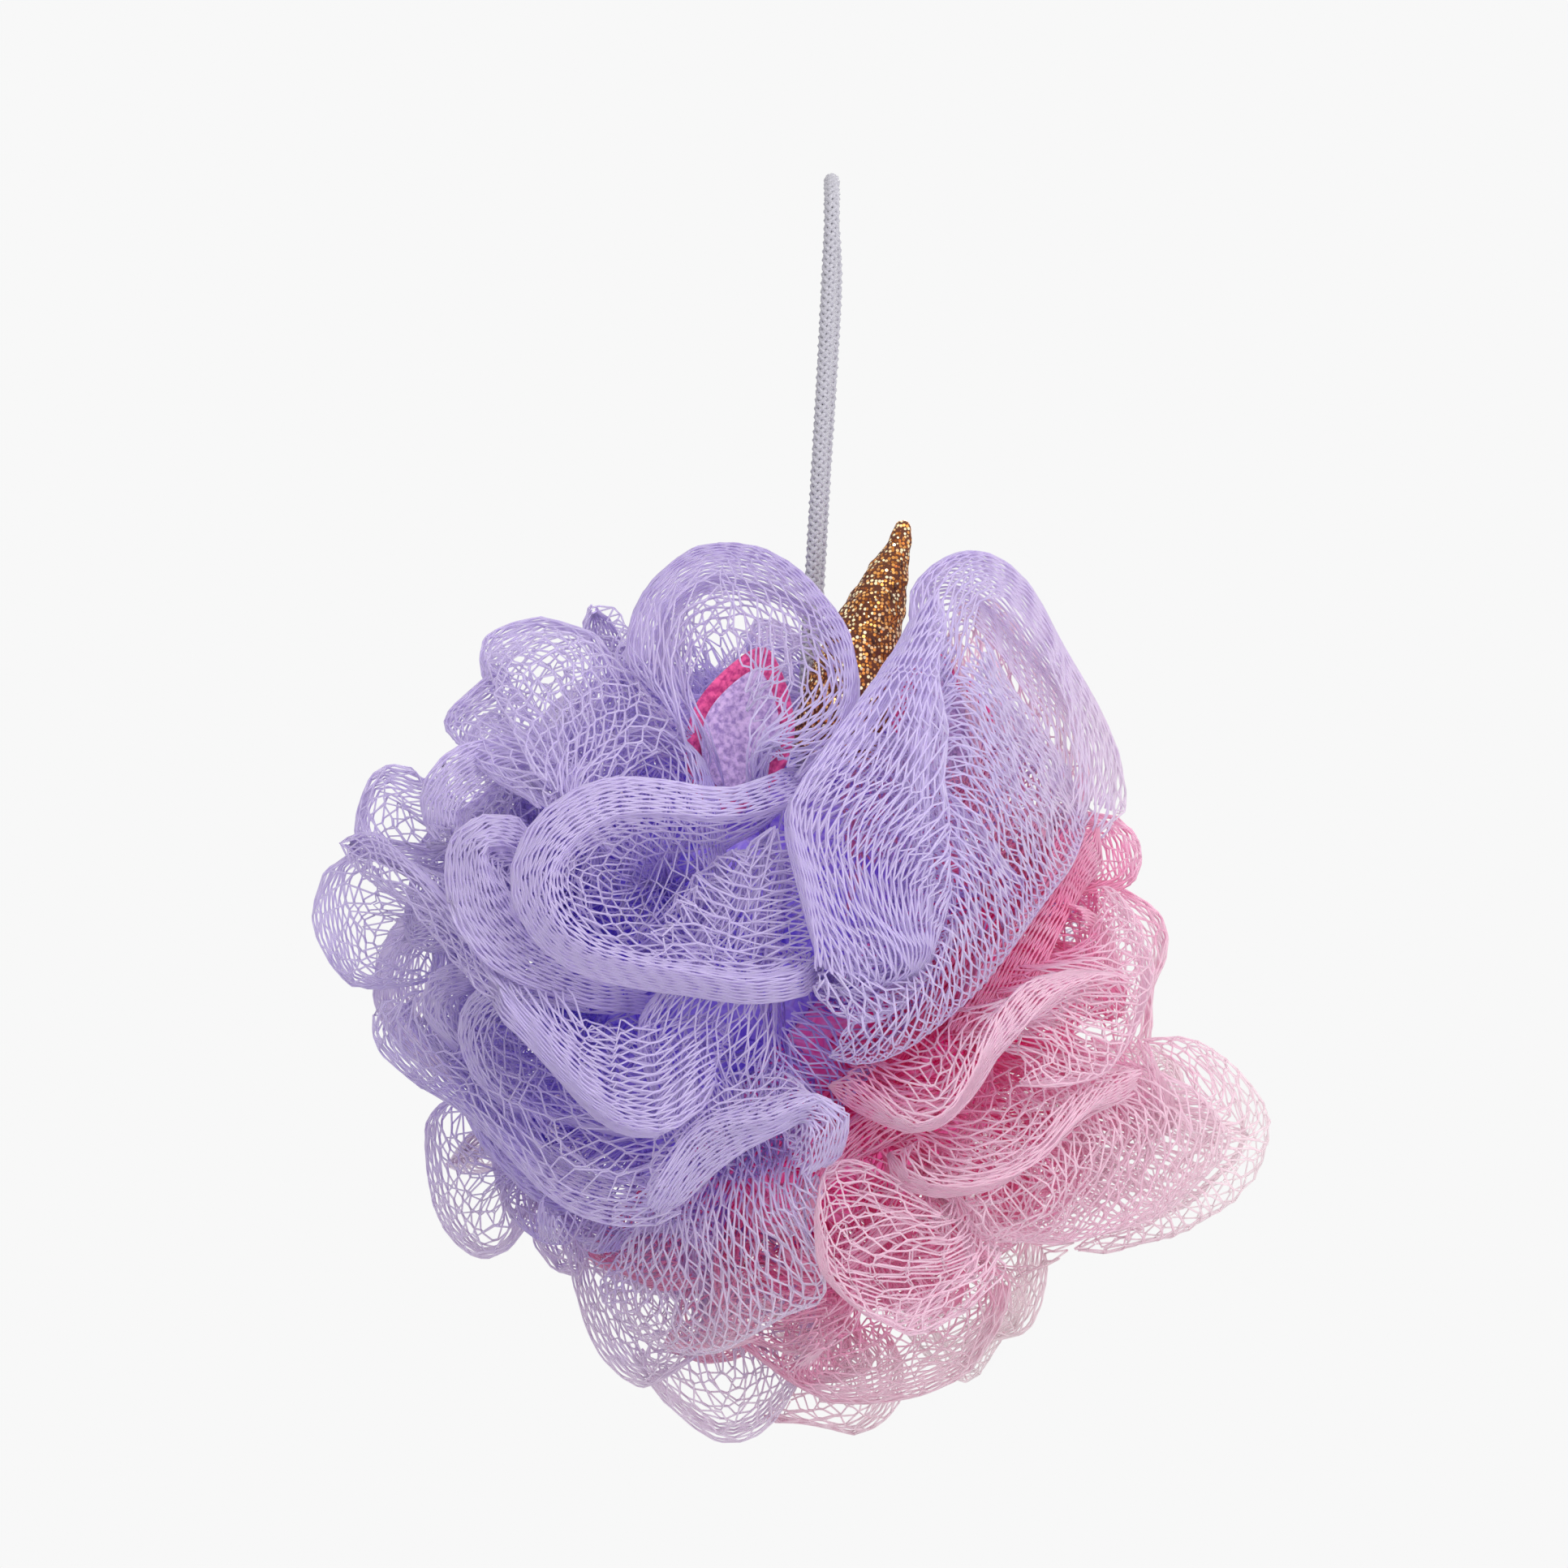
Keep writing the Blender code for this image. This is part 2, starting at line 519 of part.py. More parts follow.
def make_cord(home, paint):
    """The hanging loop, from the knot over the hook and back, its bend square to the view."""
    rise = CORD_DIAMETER / 2 - LOOP_BEND_RADIUS
    bend = [
        (0.0, -LOOP_BEND_RADIUS * math.cos(turn), rise + LOOP_BEND_RADIUS * math.sin(turn))
        for turn in (math.radians(a) for a in range(15, 180, 30))
    ]
    up, down = [[Vector((x, -depth, z)) * MM for x, depth, z in side] for side in (CORD_UP, CORD_DOWN)]
    line = smooth_line(up + bend + down, CORD_POINT_COUNT)
    return tube("hanging_cord", line, [CORD_DIAMETER / 2] * CORD_POINT_COUNT, CORD_SIDES_RESOLUTION, home, paint)


def make_knot(home, paint):
    mesh = bmesh.new()
    bmesh.ops.create_uvsphere(mesh, u_segments=16, v_segments=10, radius=KNOT_RADIUS)
    bmesh.ops.scale(mesh, vec=(1.0, 1.0, KNOT_HALF_HEIGHT / KNOT_RADIUS), verts=mesh.verts)
    knot = object_from(mesh, "cord_knot", home, paint)
    right, _, up = (0.5 * (a + b) * MM for a, b in zip(CORD_UP[0], CORD_DOWN[-1]))
    knot.location = (right, 0.0, up - CLEARANCE - KNOT_HALF_HEIGHT)
    return knot


def make_horn(home, paint):
    points = [at_photo(*place) for place, _ in HORN_LINE]
    tip = points[-1] + (points[-1] - points[-2]).normalized() * HORN_TIP_RADIUS * 0.8
    radii = [HORN_BASE_RADIUS * share for _, share in HORN_LINE] + [HORN_TIP_RADIUS * 0.55]
    return tube("horn", points + [tip], radii, HORN_SIDES_RESOLUTION, home, paint)


def make_leaf(name, half_width, half_height, half_thickness, forward, where, tilt, home, paint):
    """A plush leaf, pointed at the top and cupped towards the viewer."""
    mesh = bmesh.new()
    bmesh.ops.create_uvsphere(mesh, u_segments=16, v_segments=9, radius=1.0)
    for vert in mesh.verts:
        x, y, z = vert.co
        narrow = 1 - 0.45 * max(z, 0.0) ** 1.5
        cup = EAR_CUP * (x * half_width / EAR_HALF_WIDTH) ** 2
        vert.co = (x * narrow * half_width, y * half_thickness - cup - forward, z * half_height)
    leaf = object_from(mesh, name, home, paint)
    leaf.location = at_photo(*where)
    leaf.rotation_euler = (0.0, math.radians(tilt), 0.0)
    return leaf


def make_ears(home, plush, lining):
    made = []
    for name, (where, tilt) in EARS.items():
        made.append(make_leaf(
            name + "_plush", EAR_HALF_WIDTH, EAR_HALF_HEIGHT, EAR_HALF_THICKNESS, 0.0, where, tilt, home, plush,
        ))
        forward = EAR_HALF_THICKNESS + LINING_HALF_THICKNESS + CLEARANCE
        made.append(make_leaf(
            name + "_lining", EAR_HALF_WIDTH * LINING_SHARE, EAR_HALF_HEIGHT * LINING_SHARE,
            LINING_HALF_THICKNESS, forward, where, tilt, home, lining,
        ))
    return made


def main():
    clear_scene()
    sponge = bpy.data.collections.new("bath sponge")
    cutters = bpy.data.collections.new("cutters")
    for home in (sponge, cutters):
        bpy.context.scene.collection.children.link(home)
    lilac = material("lilac_net", (0.50, 0.43, 0.80), 0.45)
    pink = material("pink_net", (0.84, 0.38, 0.60), 0.45)
    white = material("cord_white", (0.74, 0.74, 0.76), 0.5)
    gold = material("gold_glitter", (0.62, 0.38, 0.08), 0.35, 0.7)
    fleece = material("pink_fleece", (0.80, 0.16, 0.38), 0.9)
    satin = material("lilac_fleece", (0.62, 0.52, 0.72), 0.9)
    fitted = [make_cord(sponge, white), make_knot(sponge, white), make_horn(sponge, gold)]
    fitted += make_ears(sponge, fleece, satin)
    lilac_net = make_net("lilac_net", LILAC_FOLDS, LILAC_BELT, 1, LILAC_TRIANGLES, sponge, lilac)
    pink_net = make_net("pink_net", PINK_FOLDS, PINK_BELT, -1, PINK_TRIANGLES, sponge, pink)
    for piece in fitted:
        room = grown(piece, cutters, CLEARANCE)
        cut(lilac_net, room)
        cut(pink_net, room)
    room = grown(lilac_net, cutters, NET_GAP)
    one_surface(room, ROOM_FINENESS, ROOM_TRIANGLES)
    cut(pink_net, room)
    # Thin rims that the even surface missed; where this growth crosses itself EXACT can't take it
    for gap in RIM_GAPS:
        cut(pink_net, grown(lilac_net, cutters, gap), "MANIFOLD")


main()
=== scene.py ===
import math

import bmesh
import bpy
import numpy as np
from mathutils import Matrix, Vector


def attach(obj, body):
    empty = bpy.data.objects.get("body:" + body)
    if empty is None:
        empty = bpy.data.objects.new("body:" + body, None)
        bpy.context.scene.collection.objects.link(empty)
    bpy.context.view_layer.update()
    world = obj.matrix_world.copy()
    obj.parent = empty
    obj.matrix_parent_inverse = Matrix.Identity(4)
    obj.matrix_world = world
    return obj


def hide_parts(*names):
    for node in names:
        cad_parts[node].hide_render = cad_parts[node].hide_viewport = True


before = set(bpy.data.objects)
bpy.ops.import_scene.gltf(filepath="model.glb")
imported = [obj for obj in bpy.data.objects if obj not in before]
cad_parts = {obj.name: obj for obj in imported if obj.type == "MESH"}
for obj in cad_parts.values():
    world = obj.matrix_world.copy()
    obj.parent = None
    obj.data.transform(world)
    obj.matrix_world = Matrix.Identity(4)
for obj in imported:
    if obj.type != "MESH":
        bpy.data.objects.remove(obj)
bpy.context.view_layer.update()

bl_info = {
    "name": "Bath Sponge",
    "version": (1, 0, 0),
    "blender": (4, 5, 0),
    "location": "View3D > Sidebar > Sponge",
    "description": "A hanging bath sponge of gathered two-colour net, with a stuffed horn and plush ears",
    "category": "Object",
}

MM = 0.001

# The photograph's scale and places, as in the frame: a place is (column, row, depth in mm from the heart)
PHOTO_SIDE_PX = 1932
PHOTO_SCALE = 0.11 * MM
LOOP_TOP_PX = (1025, 213)
CORD_DIAMETER = 2.2 * MM
HEART_PX = (970, 1228)
HEART = Vector((-6.05, 0.0, -109.45)) * MM
CAMERA_DISTANCE = 1.5
SENSOR_WIDTH = 36

# The heart, and the axis from the pink net to the lilac one
HEART_RADIUS = 32.5 * MM
HEART_DEPTH = 30.5 * MM
RUFFLE_DEPTH = 0.1
# The share of the heart in which no strand is made
HEART_CORE = 0.93
COLOUR_AXIS = Vector((0.75, 0.0, -0.66)).normalized()
COLOUR_SHIFT = 3.0 * MM

# Where the net's painted shade turns from its inside colour to its outside one, how much that varies and over
# what length, and where the tint, painted light of the room shining through, comes in along its axis, which
# leans back so that the folds in front keep their colour
SHADE_FROM = 30 * MM
SHADE_TO = 56 * MM
SHADE_VARIES = 4 * MM
SHADE_PATCH = 9 * MM
TINT_AXIS = COLOUR_AXIS + Vector((0.0, 0.8, 0.0))
LILAC_TINT = (-36 * MM, 2 * MM)
PINK_TINT = (30 * MM, 58 * MM)

# Each fold: how far its rim is stretched, half its thickness in mm, how far down each side of its crest the
# net is pulled shut, in mm, its rim, and where its wall turns inwards
LILAC_TOP_FOLDS = {
    "ring": (0.992, 2.6, 3.8, [
        (1012, 948, 38), (960, 970, 50), (900, 986, 54), (830, 976, 56), (760, 975, 57), (700, 1005, 57),
        (664, 1060, 57), (672, 1122, 57), (712, 1170, 57), (780, 1195, 57), (860, 1208, 58),
        (930, 1216, 58), (992, 1204, 55), (1020, 1180, 48),
    ], [(830, 1100, 26)]),
    "ring_wall": (0.95, 1.2, 1.0, [
        (800, 1192, 53), (860, 1204, 54), (930, 1212, 54), (1000, 1204, 53),
    ], [(838, 1135, 50), (860, 1088, 47), (900, 1062, 46), (990, 1030, 46)]),
    "funnel": (0.62, 0.8, 0, [
        (735, 985, 34), (705, 1040, 36), (712, 1110, 38), (760, 1160, 39), (830, 1182, 40),
    ], [(860, 960, 18), (850, 1020, 20), (860, 1080, 22), (890, 1120, 26)]),
    "cone": (0.97, 1.3, 3.4, [
        (1128, 770, 38), (1075, 850, 48), (1015, 930, 56), (968, 998, 59), (980, 1080, 60),
        (1000, 1160, 60), (1008, 1205, 57),
    ], [
        (1134, 775, 36), (1140, 850, 44), (1143, 940, 49), (1150, 1030, 51), (1152, 1110, 50),
        (1125, 1185, 50), (1020, 1212, 53),
    ]),
    "cone_foot": (0.4, 1.3, 0, [
        (1000, 1206, 55), (1040, 1236, 55), (1090, 1242, 53), (1130, 1205, 50), (1152, 1120, 47),
    ], [(1006, 1198, 54), (1012, 1196, 54), (1020, 1194, 54), (1030, 1185, 53), (1040, 1170, 52)]),
    "crest_right": (0.985, 2.6, 2.4, [
        (1130, 800, 30), (1120, 745, 28), (1150, 698, 22), (1190, 687, 15), (1236, 716, 10), (1290, 790, 8),
        (1340, 860, 5), (1363, 920, 3), (1360, 980, 0), (1335, 1015, 2),
    ], [
        (1142, 830, 30), (1150, 900, 34), (1170, 960, 34), (1220, 1010, 28), (1290, 1030, 14),
        (1330, 1025, 4),
    ]),
    "sheet_right": (0.32, 1.3, 0, [
        (1338, 1005, 4), (1312, 1060, 20), (1266, 1130, 32), (1214, 1192, 42), (1150, 1250, 48),
        (1082, 1290, 50), (1018, 1292, 50),
    ], [
        (1150, 780, 30), (1150, 880, 40), (1148, 980, 45), (1150, 1060, 47), (1142, 1140, 48),
        (1112, 1200, 50), (1040, 1240, 52),
    ]),
    "lobe_top": (0.988, 2.4, 6.2, [
        (985, 965, 46), (1040, 915, 45), (1062, 862, 42), (1050, 800, 38), (1012, 738, 30), (962, 700, 24),
        (910, 689, 20), (855, 698, 18), (806, 735, 18), (786, 785, 20), (790, 840, 22),
    ], [(945, 950, 42), (900, 945, 40), (860, 920, 34)]),
    "lobe_top_back": (0.98, 2.0, 3.0, [
        (905, 700, 4), (855, 708, 6), (824, 740, 8), (815, 800, 8), (828, 870, 10), (850, 930, 14),
    ], [(900, 850, 0), (890, 900, 5)]),
    "lobe_top_left": (0.9, 2.0, 0, [
        (800, 900, 8), (768, 850, 8), (763, 800, 8), (786, 762, 6), (832, 732, 2),
    ], [(850, 900, 5), (860, 850, 0)]),
    "fan_left": (0.6, 2.2, 0, [
        (600, 812, 14), (640, 800, 18), (700, 790, 20), (748, 812, 22), (800, 862, 26), (858, 905, 32),
    ], [(712, 1012, 46), (722, 1012, 46), (735, 1010, 46)]),
}
LILAC_LEFT_FOLDS = {
    "lobe_left_top": (0.97, 2.4, 2.4, [
        (757, 862, 12), (752, 812, 12), (740, 778, 10), (695, 768, 8), (650, 770, 8), (612, 784, 8),
        (598, 806, 10), (612, 860, 16),
    ], [(720, 960, 20), (690, 950, 20)]),
    "ridge_left": (0.96, 2.0, 3.0, [
        (620, 830, 14), (575, 862, 18), (554, 897, 22), (600, 935, 32), (650, 972, 40), (705, 1012, 46),
    ], [(700, 920, 20), (690, 950, 30), (710, 1000, 44)]),
    "band_left_top": (0.985, 2.8, 4.2, [
        (700, 920, 28), (642, 925, 34), (588, 945, 37), (552, 985, 37), (548, 1040, 36),
    ], [(680, 1000, 10), (640, 1040, 10)]),
    "band_inner": (0.988, 2.8, 4.2, [
        (665, 1030, 44), (618, 1016, 50), (586, 1036, 51), (588, 1085, 51), (606, 1132, 50),
        (652, 1182, 48), (730, 1214, 46), (830, 1228, 45),
    ], [(690, 1090, 15), (720, 1150, 15)]),
    "leaf": (0.982, 2.2, 4.4, [
        (440, 1040, 4), (480, 1045, 14), (535, 1070, 26), (578, 1118, 36), (612, 1185, 43), (650, 1262, 47),
        (700, 1330, 50), (760, 1378, 52), (820, 1384, 52), (856, 1352, 50), (866, 1312, 46),
    ], [
        (470, 1060, 6), (560, 1110, 26), (640, 1190, 38), (720, 1216, 42), (800, 1232, 43), (880, 1262, 43),
        (885, 1290, 42),
    ]),
    "lobe_left_up": (0.95, 2.4, 2.4, [
        (560, 1062, 8), (490, 1052, 3), (444, 1036, -1), (438, 1000, -3), (456, 957, -4), (482, 953, -4),
        (512, 966, -3), (546, 963, 0), (566, 990, 5),
    ], [(620, 1070, 10)]),
    "lobe_left": (0.97, 3.0, 2.5, [
        (475, 1032, 4), (432, 1046, 2), (407, 1092, 1), (402, 1142, 1), (420, 1190, 1), (456, 1218, 1),
        (496, 1226, 3), (545, 1212, 7),
    ], [(530, 1120, 8), (560, 1160, 8)]),
    "petal_low_left": (0.985, 2.2, 3.6, [
        (515, 1232, 4), (488, 1277, 7), (540, 1330, 15), (605, 1386, 24), (680, 1440, 32), (750, 1472, 37),
        (820, 1476, 39), (852, 1448, 38),
    ], [
        (520, 1242, 8), (600, 1236, 20), (680, 1325, 32), (740, 1395, 38), (800, 1415, 40), (845, 1425, 38),
    ]),
    "lobe_low_left": (0.9, 2.8, 1.5, [
        (645, 1400, -2), (600, 1352, -5), (556, 1345, -6), (530, 1385, -7), (526, 1440, -7),
        (540, 1500, -7), (576, 1538, -7), (612, 1548, -7), (640, 1522, -6), (656, 1468, -5),
    ], [(660, 1410, 0), (668, 1430, 0)]),
    "lobe_low_left_small": (0.93, 2.2, 1.5, [
        (654, 1450, -8), (662, 1510, -9), (682, 1566, -9), (712, 1568, -9), (730, 1530, -7),
    ], [(720, 1430, 0)]),
    "ribbon": (0.975, 2.4, 4.2, [
        (818, 1488, 44), (832, 1462, 49), (868, 1420, 52), (918, 1388, 55), (970, 1366, 57),
        (1012, 1352, 58), (1034, 1366, 58), (1024, 1400, 54), (1004, 1440, 48),
    ], [
        (836, 1360, 40), (850, 1340, 40), (900, 1320, 42), (950, 1320, 44), (980, 1340, 46),
        (990, 1380, 40),
    ]),
    "curtain": (0.45, 1.6, 0, [
        (1004, 1430, 46), (1003, 1500, 44), (1016, 1574, 38), (975, 1604, 36), (930, 1636, 30),
        (880, 1655, 24), (800, 1640, 18), (740, 1580, 14),
    ], [
        (1000, 1420, 44), (990, 1420, 44), (960, 1440, 42), (930, 1440, 40), (860, 1460, 36),
        (800, 1480, 30),
    ]),
    "lobe_bottom": (0.93, 2.8, 1.5, [
        (1024, 1570, 12), (1004, 1650, 6), (978, 1712, 1), (945, 1752, -2), (905, 1768, -4),
        (850, 1748, -4), (800, 1706, -4), (770, 1650, -2),
    ], [(900, 1560, 10), (880, 1580, 8)]),
    "lobe_bottom_left": (0.9, 2.8, 1.5, [
        (690, 1480, 2), (716, 1560, 2), (730, 1622, 1), (752, 1670, 1), (792, 1698, 1), (840, 1690, 3),
        (880, 1662, 5), (900, 1630, 8),
    ], [(800, 1500, 12), (820, 1520, 12)]),
}
PINK_FOLDS = {
    "s_fold": (0.98, 2.4, 3.8, [
        (1010, 1328, 46), (1060, 1358, 50), (1110, 1378, 52), (1160, 1366, 53), (1200, 1320, 52),
        (1228, 1268, 51), (1256, 1222, 49), (1292, 1196, 45), (1345, 1182, 38), (1385, 1200, 30),
    ], [
        (1040, 1308, 40), (1100, 1318, 44), (1150, 1300, 44), (1180, 1262, 42), (1220, 1240, 38),
        (1290, 1240, 30),
    ]),
    "roll": (0.55, 2.4, 2.2, [
        (1236, 1332, 45), (1290, 1334, 46), (1342, 1318, 42), (1386, 1284, 36), (1405, 1230, 30),
        (1400, 1170, 24), (1376, 1112, 18), (1345, 1090, 14),
    ], [
        (1236, 1290, 40), (1244, 1262, 40), (1250, 1240, 38), (1262, 1220, 36), (1280, 1200, 32),
        (1300, 1180, 26),
    ]),
    "loop": (0.985, 2.0, 3.2, [
        (1085, 1405, 42), (1112, 1440, 46), (1160, 1457, 49), (1212, 1450, 50), (1262, 1420, 48),
        (1312, 1376, 45), (1362, 1340, 38), (1405, 1318, 30),
    ], [
        (1110, 1400, 36), (1150, 1390, 38), (1200, 1380, 40), (1250, 1350, 40), (1300, 1330, 36),
        (1350, 1310, 28),
    ]),
    "frill_right": (0.5, 1.6, 0, [
        (1400, 1275, 10), (1450, 1274, 8), (1492, 1300, 5), (1526, 1340, 2), (1540, 1386, 0),
        (1526, 1432, 0), (1490, 1470, 1), (1440, 1498, 3), (1380, 1518, 6), (1320, 1536, 9),
    ], [(1440, 1340, 14), (1486, 1386, 8), (1492, 1392, 8), (1440, 1450, 12), (1360, 1490, 16)]),
    "sheet_low_right": (0.42, 1.8, 1.5, [
        (1484, 1396, 9), (1470, 1440, 13), (1402, 1490, 20), (1302, 1516, 28), (1232, 1508, 34),
        (1176, 1480, 38),
    ], [
        (1470, 1384, 9), (1420, 1335, 18), (1350, 1345, 30), (1285, 1392, 40), (1225, 1435, 44),
        (1180, 1462, 44),
    ]),
    "apron": (0.62, 2.0, 2.2, [
        (1060, 1425, 42), (1010, 1428, 46), (1003, 1480, 48), (1004, 1545, 48), (1034, 1582, 47),
        (1082, 1610, 46), (1108, 1614, 45), (1160, 1580, 42),
    ], [(1150, 1470, 40), (1190, 1495, 38), (1200, 1508, 38), (1200, 1520, 38)]),
    "lobe_low_right": (0.975, 2.8, 2.0, [
        (900, 1650, 12), (960, 1700, 9), (1040, 1722, 6), (1112, 1716, 4), (1182, 1680, 3), (1234, 1622, 2),
        (1246, 1556, 3),
    ], [(1060, 1530, 16), (1120, 1500, 16)]),
    "lobe_low": (0.94, 2.6, 1.5, [
        (940, 1748, -4), (1000, 1768, -5), (1050, 1766, -6), (1092, 1742, -6), (1106, 1690, -5),
        (1102, 1630, -3),
    ], [(1030, 1590, 2)]),
    "lobe_right_low": (0.9, 2.2, 1.5, [
        (1330, 1530, -6), (1286, 1532, -9), (1284, 1582, -10), (1266, 1626, -10), (1230, 1656, -10),
        (1190, 1660, -9),
    ], [(1200, 1530, -2)]),
    "lobe_right_high": (0.92, 2.2, 1.5, [
        (1310, 1000, -2), (1350, 1002, -3), (1382, 1022, -3), (1394, 1052, -3), (1390, 1084, -1),
        (1350, 1110, 4),
    ], [(1260, 1110, 10)]),
    "lobe_right": (0.94, 2.4, 2.0, [
        (1360, 1086, -6), (1410, 1108, -7), (1432, 1132, -8), (1436, 1182, -8), (1427, 1232, -8),
        (1416, 1280, -6), (1400, 1330, -4),
    ], [(1280, 1200, 0)]),
    "behind_crest": (0.5, 1.0, 0, [
        (1160, 800, 16), (1180, 750, 12), (1220, 745, 6), (1270, 800, 0), (1315, 870, -3), (1335, 940, -5),
        (1330, 1000, -6),
    ], [(1180, 960, 24), (1200, 1040, 24), (1240, 1080, 16)]),
    "valley": (0.99, 3.6, 10.0, [
        (1350, 1015, 10), (1312, 1080, 22), (1272, 1150, 31), (1224, 1230, 36), (1182, 1300, 38),
    ], [(1240, 1080, 0), (1180, 1150, 5), (1150, 1200, 8)]),
}

# The share of a fold's length in which its hem gets narrow, and in which its two walls close
HEM_TAPER = 0.08
PINCH = 0.05

# Distance between the rows of a shut net, how far it takes to open fully, from where, and below which
# distance a row of joints is too fine to show
SHUT_ROW = 0.265 * MM
LOOSENING = 5.0 * MM
LOOSE_FROM = -1.0 * MM
FINE_ROW = 0.5 * MM

# How much the rows' distances differ and how far the joints wander along them, in cells
UNEVEN_ROWS = 0.14
DRIFT = 0.35

# The crest's section: the flat share of its thickness, in a fold with a hem deeper than the sharp one and in
# a plain one, how much the thickness swells along the rim, and how far the crest tilts and down to where
SHARP_HEM = 2.8 * MM
HEMMED_FLAT = 0.7
PLAIN_FLAT = 0.2
SWELL = 0.25
TILT = 0.5
TILT_DEPTH = 5.0 * MM

# How unevenly the net lies: across its wall and along it, from which depth
SWAY = 0.5 * MM
SLIP = 1.0 * MM
SETTLED_MM = 4

# The folds that cross from the front to the back: angle in degrees about the heart as the photograph shows
# it from the right upwards, radius in mm, and the depths in mm where the rim starts and ends
LILAC_BELT = [
    (50, 50, -30, 26), (72, 41, -32, 6), (100, 46, -32, 8), (121, 51, -30, 26), (141, 50, -28, 30),
    (160, 54, -30, 28), (179, 49, -28, 30), (198, 47, -30, 28), (217, 48, -28, 30),
]
PINK_BELT = [
    (240, 45, -30, 28), (258, 51, -28, 30), (276, 53, -30, 28), (294, 48, -28, 30), (312, 44, -30, 28),
    (330, 46, -28, 30), (346, 56, -30, 28), (366, 46, -28, 30), (386, 45, -30, 28),
]
BELT_HALF_WALL = 2.2
BELT_HEM = 2.4
BELT_SWING = 7.0
BELT_LEAN = 5.0
BELT_POINTS = 7
BELT_STRETCH = 0.95
BELT_END_DROP = 0.12
BELT_TURN = 0.4
BELT_TURN_DEPTH = 0.45

# How a fold runs in to the heart, and how its wall is rounded
GATHER = 0.14
WALL_BOW = 0.06
NECK_NARROWING = 0.7
GRID_COLUMNS = 60
GRID_ROWS = 40
MOST_ROWS = 400
# The share of its shortest column that a fold's net may reach down
DEEPEST = 0.98

# Each layer of folds: turn in degrees about the colour axis, size, least mean depth of the folds that it
# has, whether the net's joints have their own length, how far below the rim its net is made, in mm, and the
# share of its hems
LAYERS = {
    "front": (0, 1.0, -99, True, 38, 1.0),
    "under": (35, 0.8, -99, False, 20, 0.4),
    "back": (180, 0.93, 16, False, 24, 1.0),
    "under_back": (215, 0.77, 16, False, 18, 0.3),
    "side": (0, 1.0, -99, False, 24, 0.8),
}

# The share of the light that passes through a strand
THROUGH = 0.75

# Where along a cell's edge the two strands part from the joint: share of the way along and across
JOINT_ENDS = np.array(((0.17, 0.06), (0.83, 0.94)))
PLAIN_ENDS = np.array(((0.0, 0.03),))
# The strands of a fold that is stretched less than this run down its wall, as a fan
FAN_BELOW = 0.7

# The tight net's colours, painted shade of its many layers: the deeper one in the creases and between the
# strands, the paler one on the ruffles
HEART_PAINTED_SHADE_COLOURS = {"lilac": ("#8464f0", "#bca4ff"), "pink": ("#ff38a6", "#ff90d2")}

# How far the nets stay clear of the cord, the horn and the ears, and their room before and behind an ear
CLEARANCE = 0.5 * MM
EAR_ROOM = 1.6 * MM
EAR_ROOM_SHIFT = 1.2 * MM
ROOM_HORN_POINTS = 40
ROOM_CORD_POINTS = 160

# The horn's middle line and its radius at each point as a share of the base's
HORN_LINE = [
    ((1026, 932, 15), 1.0), ((1034, 890, 15.5), 1.0), ((1046, 850, 15.5), 0.98), ((1060, 805, 15), 0.86),
    ((1076, 757, 14), 0.7), ((1094, 709, 12.5), 0.47), ((1106, 675, 11.5), 0.28), ((1111, 655, 11), 0.2),
]
HORN_POINTS = 110
HORN_CAP_POINTS = 8
HORN_RESOLUTION = 14

# The seam's stitches: how many, the share of the horn's length where they start and the share that they take,
# and their first angle round the horn and how far they turn from it, in degrees
STITCHES = 9
STITCH_START = 0.45
STITCH_SHARE = 0.4
STITCH_ANGLE = 79
STITCH_TURN = 20
STITCH_RADIUS = 0.16 * MM

# Each ear's place and its tilt in degrees; the lining's size, half thickness and distance before the plush
EARS = {"ear_left": ((915, 901, 25.3), 15.0), "ear_right": ((1160, 902, 12), -12.0)}
LINING_SHARE = 0.72
LINING_HALF_THICKNESS = 0.7 * MM
LINING_FORWARD = 1.0 * MM
EAR_SEGMENTS = 90
EAR_RINGS = 48
# The fleece's painted shade between its tufts, on the plush and on the lining
PLUSH_PAINTED_SHADE = "#b32d74"
LINING_PAINTED_SHADE = "#9a7fb8"

# The cord from the knot up and over the hook to the knot again, in mm: right, towards the viewer, up
CORD_UP = [
    (-4.9, 1.9, -100.7), (-4.6, 3.0, -92.0), (-4.1, 4.4, -80.0), (-3.4, 5.6, -66.0), (-2.6, 6.2, -52.0),
    (-1.8, 6.4, -38.0), (-1.0, 6.5, -24.0), (-0.4, 6.5, -12.0),
]
CORD_DOWN = [
    (0.4, -6.5, -12.0), (-0.2, -6.5, -24.0), (-1.1, -6.4, -38.0), (-1.9, -6.2, -52.0), (-2.8, -5.6, -66.0),
    (-3.6, -4.4, -80.0), (-4.3, -3.0, -92.0), (-4.7, -1.9, -100.7),
]
LOOP_BEND_RADIUS = 6.5 * MM
CORE_RADIUS = 0.5 * MM
ROUTE_POINTS = 1600
CORE_POINTS = 300
PATH_POINTS = 240
# How far the yarns rise and sink where they cross, and the points of a yarn in one turn
BRAID_LIFT = 0.12 * MM
YARN_POINTS = 11

# Each lamp's place from the heart, in m, and the size of them all
LAMPS = {"key": (0.25, -1.2, 0.8), "fill": (0.9, -0.95, 0.05), "back": (0.3, 1.25, 0.6)}
LAMP_SIZE = 0.9
FLOOR_HALF_SIDE = 0.6
FLOOR_HEIGHT = -0.3
# Light passes many strands on its way, so it needs many bounces
BOUNCES = 24
STRAND_BOUNCES = 20


def length(name, description, default, least=0.0):
    """A property for a length."""
    return bpy.props.FloatProperty(
        name=name, description=description, default=default, min=least, unit="LENGTH", precision=5)


def hex_colour(name, description, default):
    """A property for an sRGB hex value."""
    return bpy.props.StringProperty(name=name, description=description, default=default)


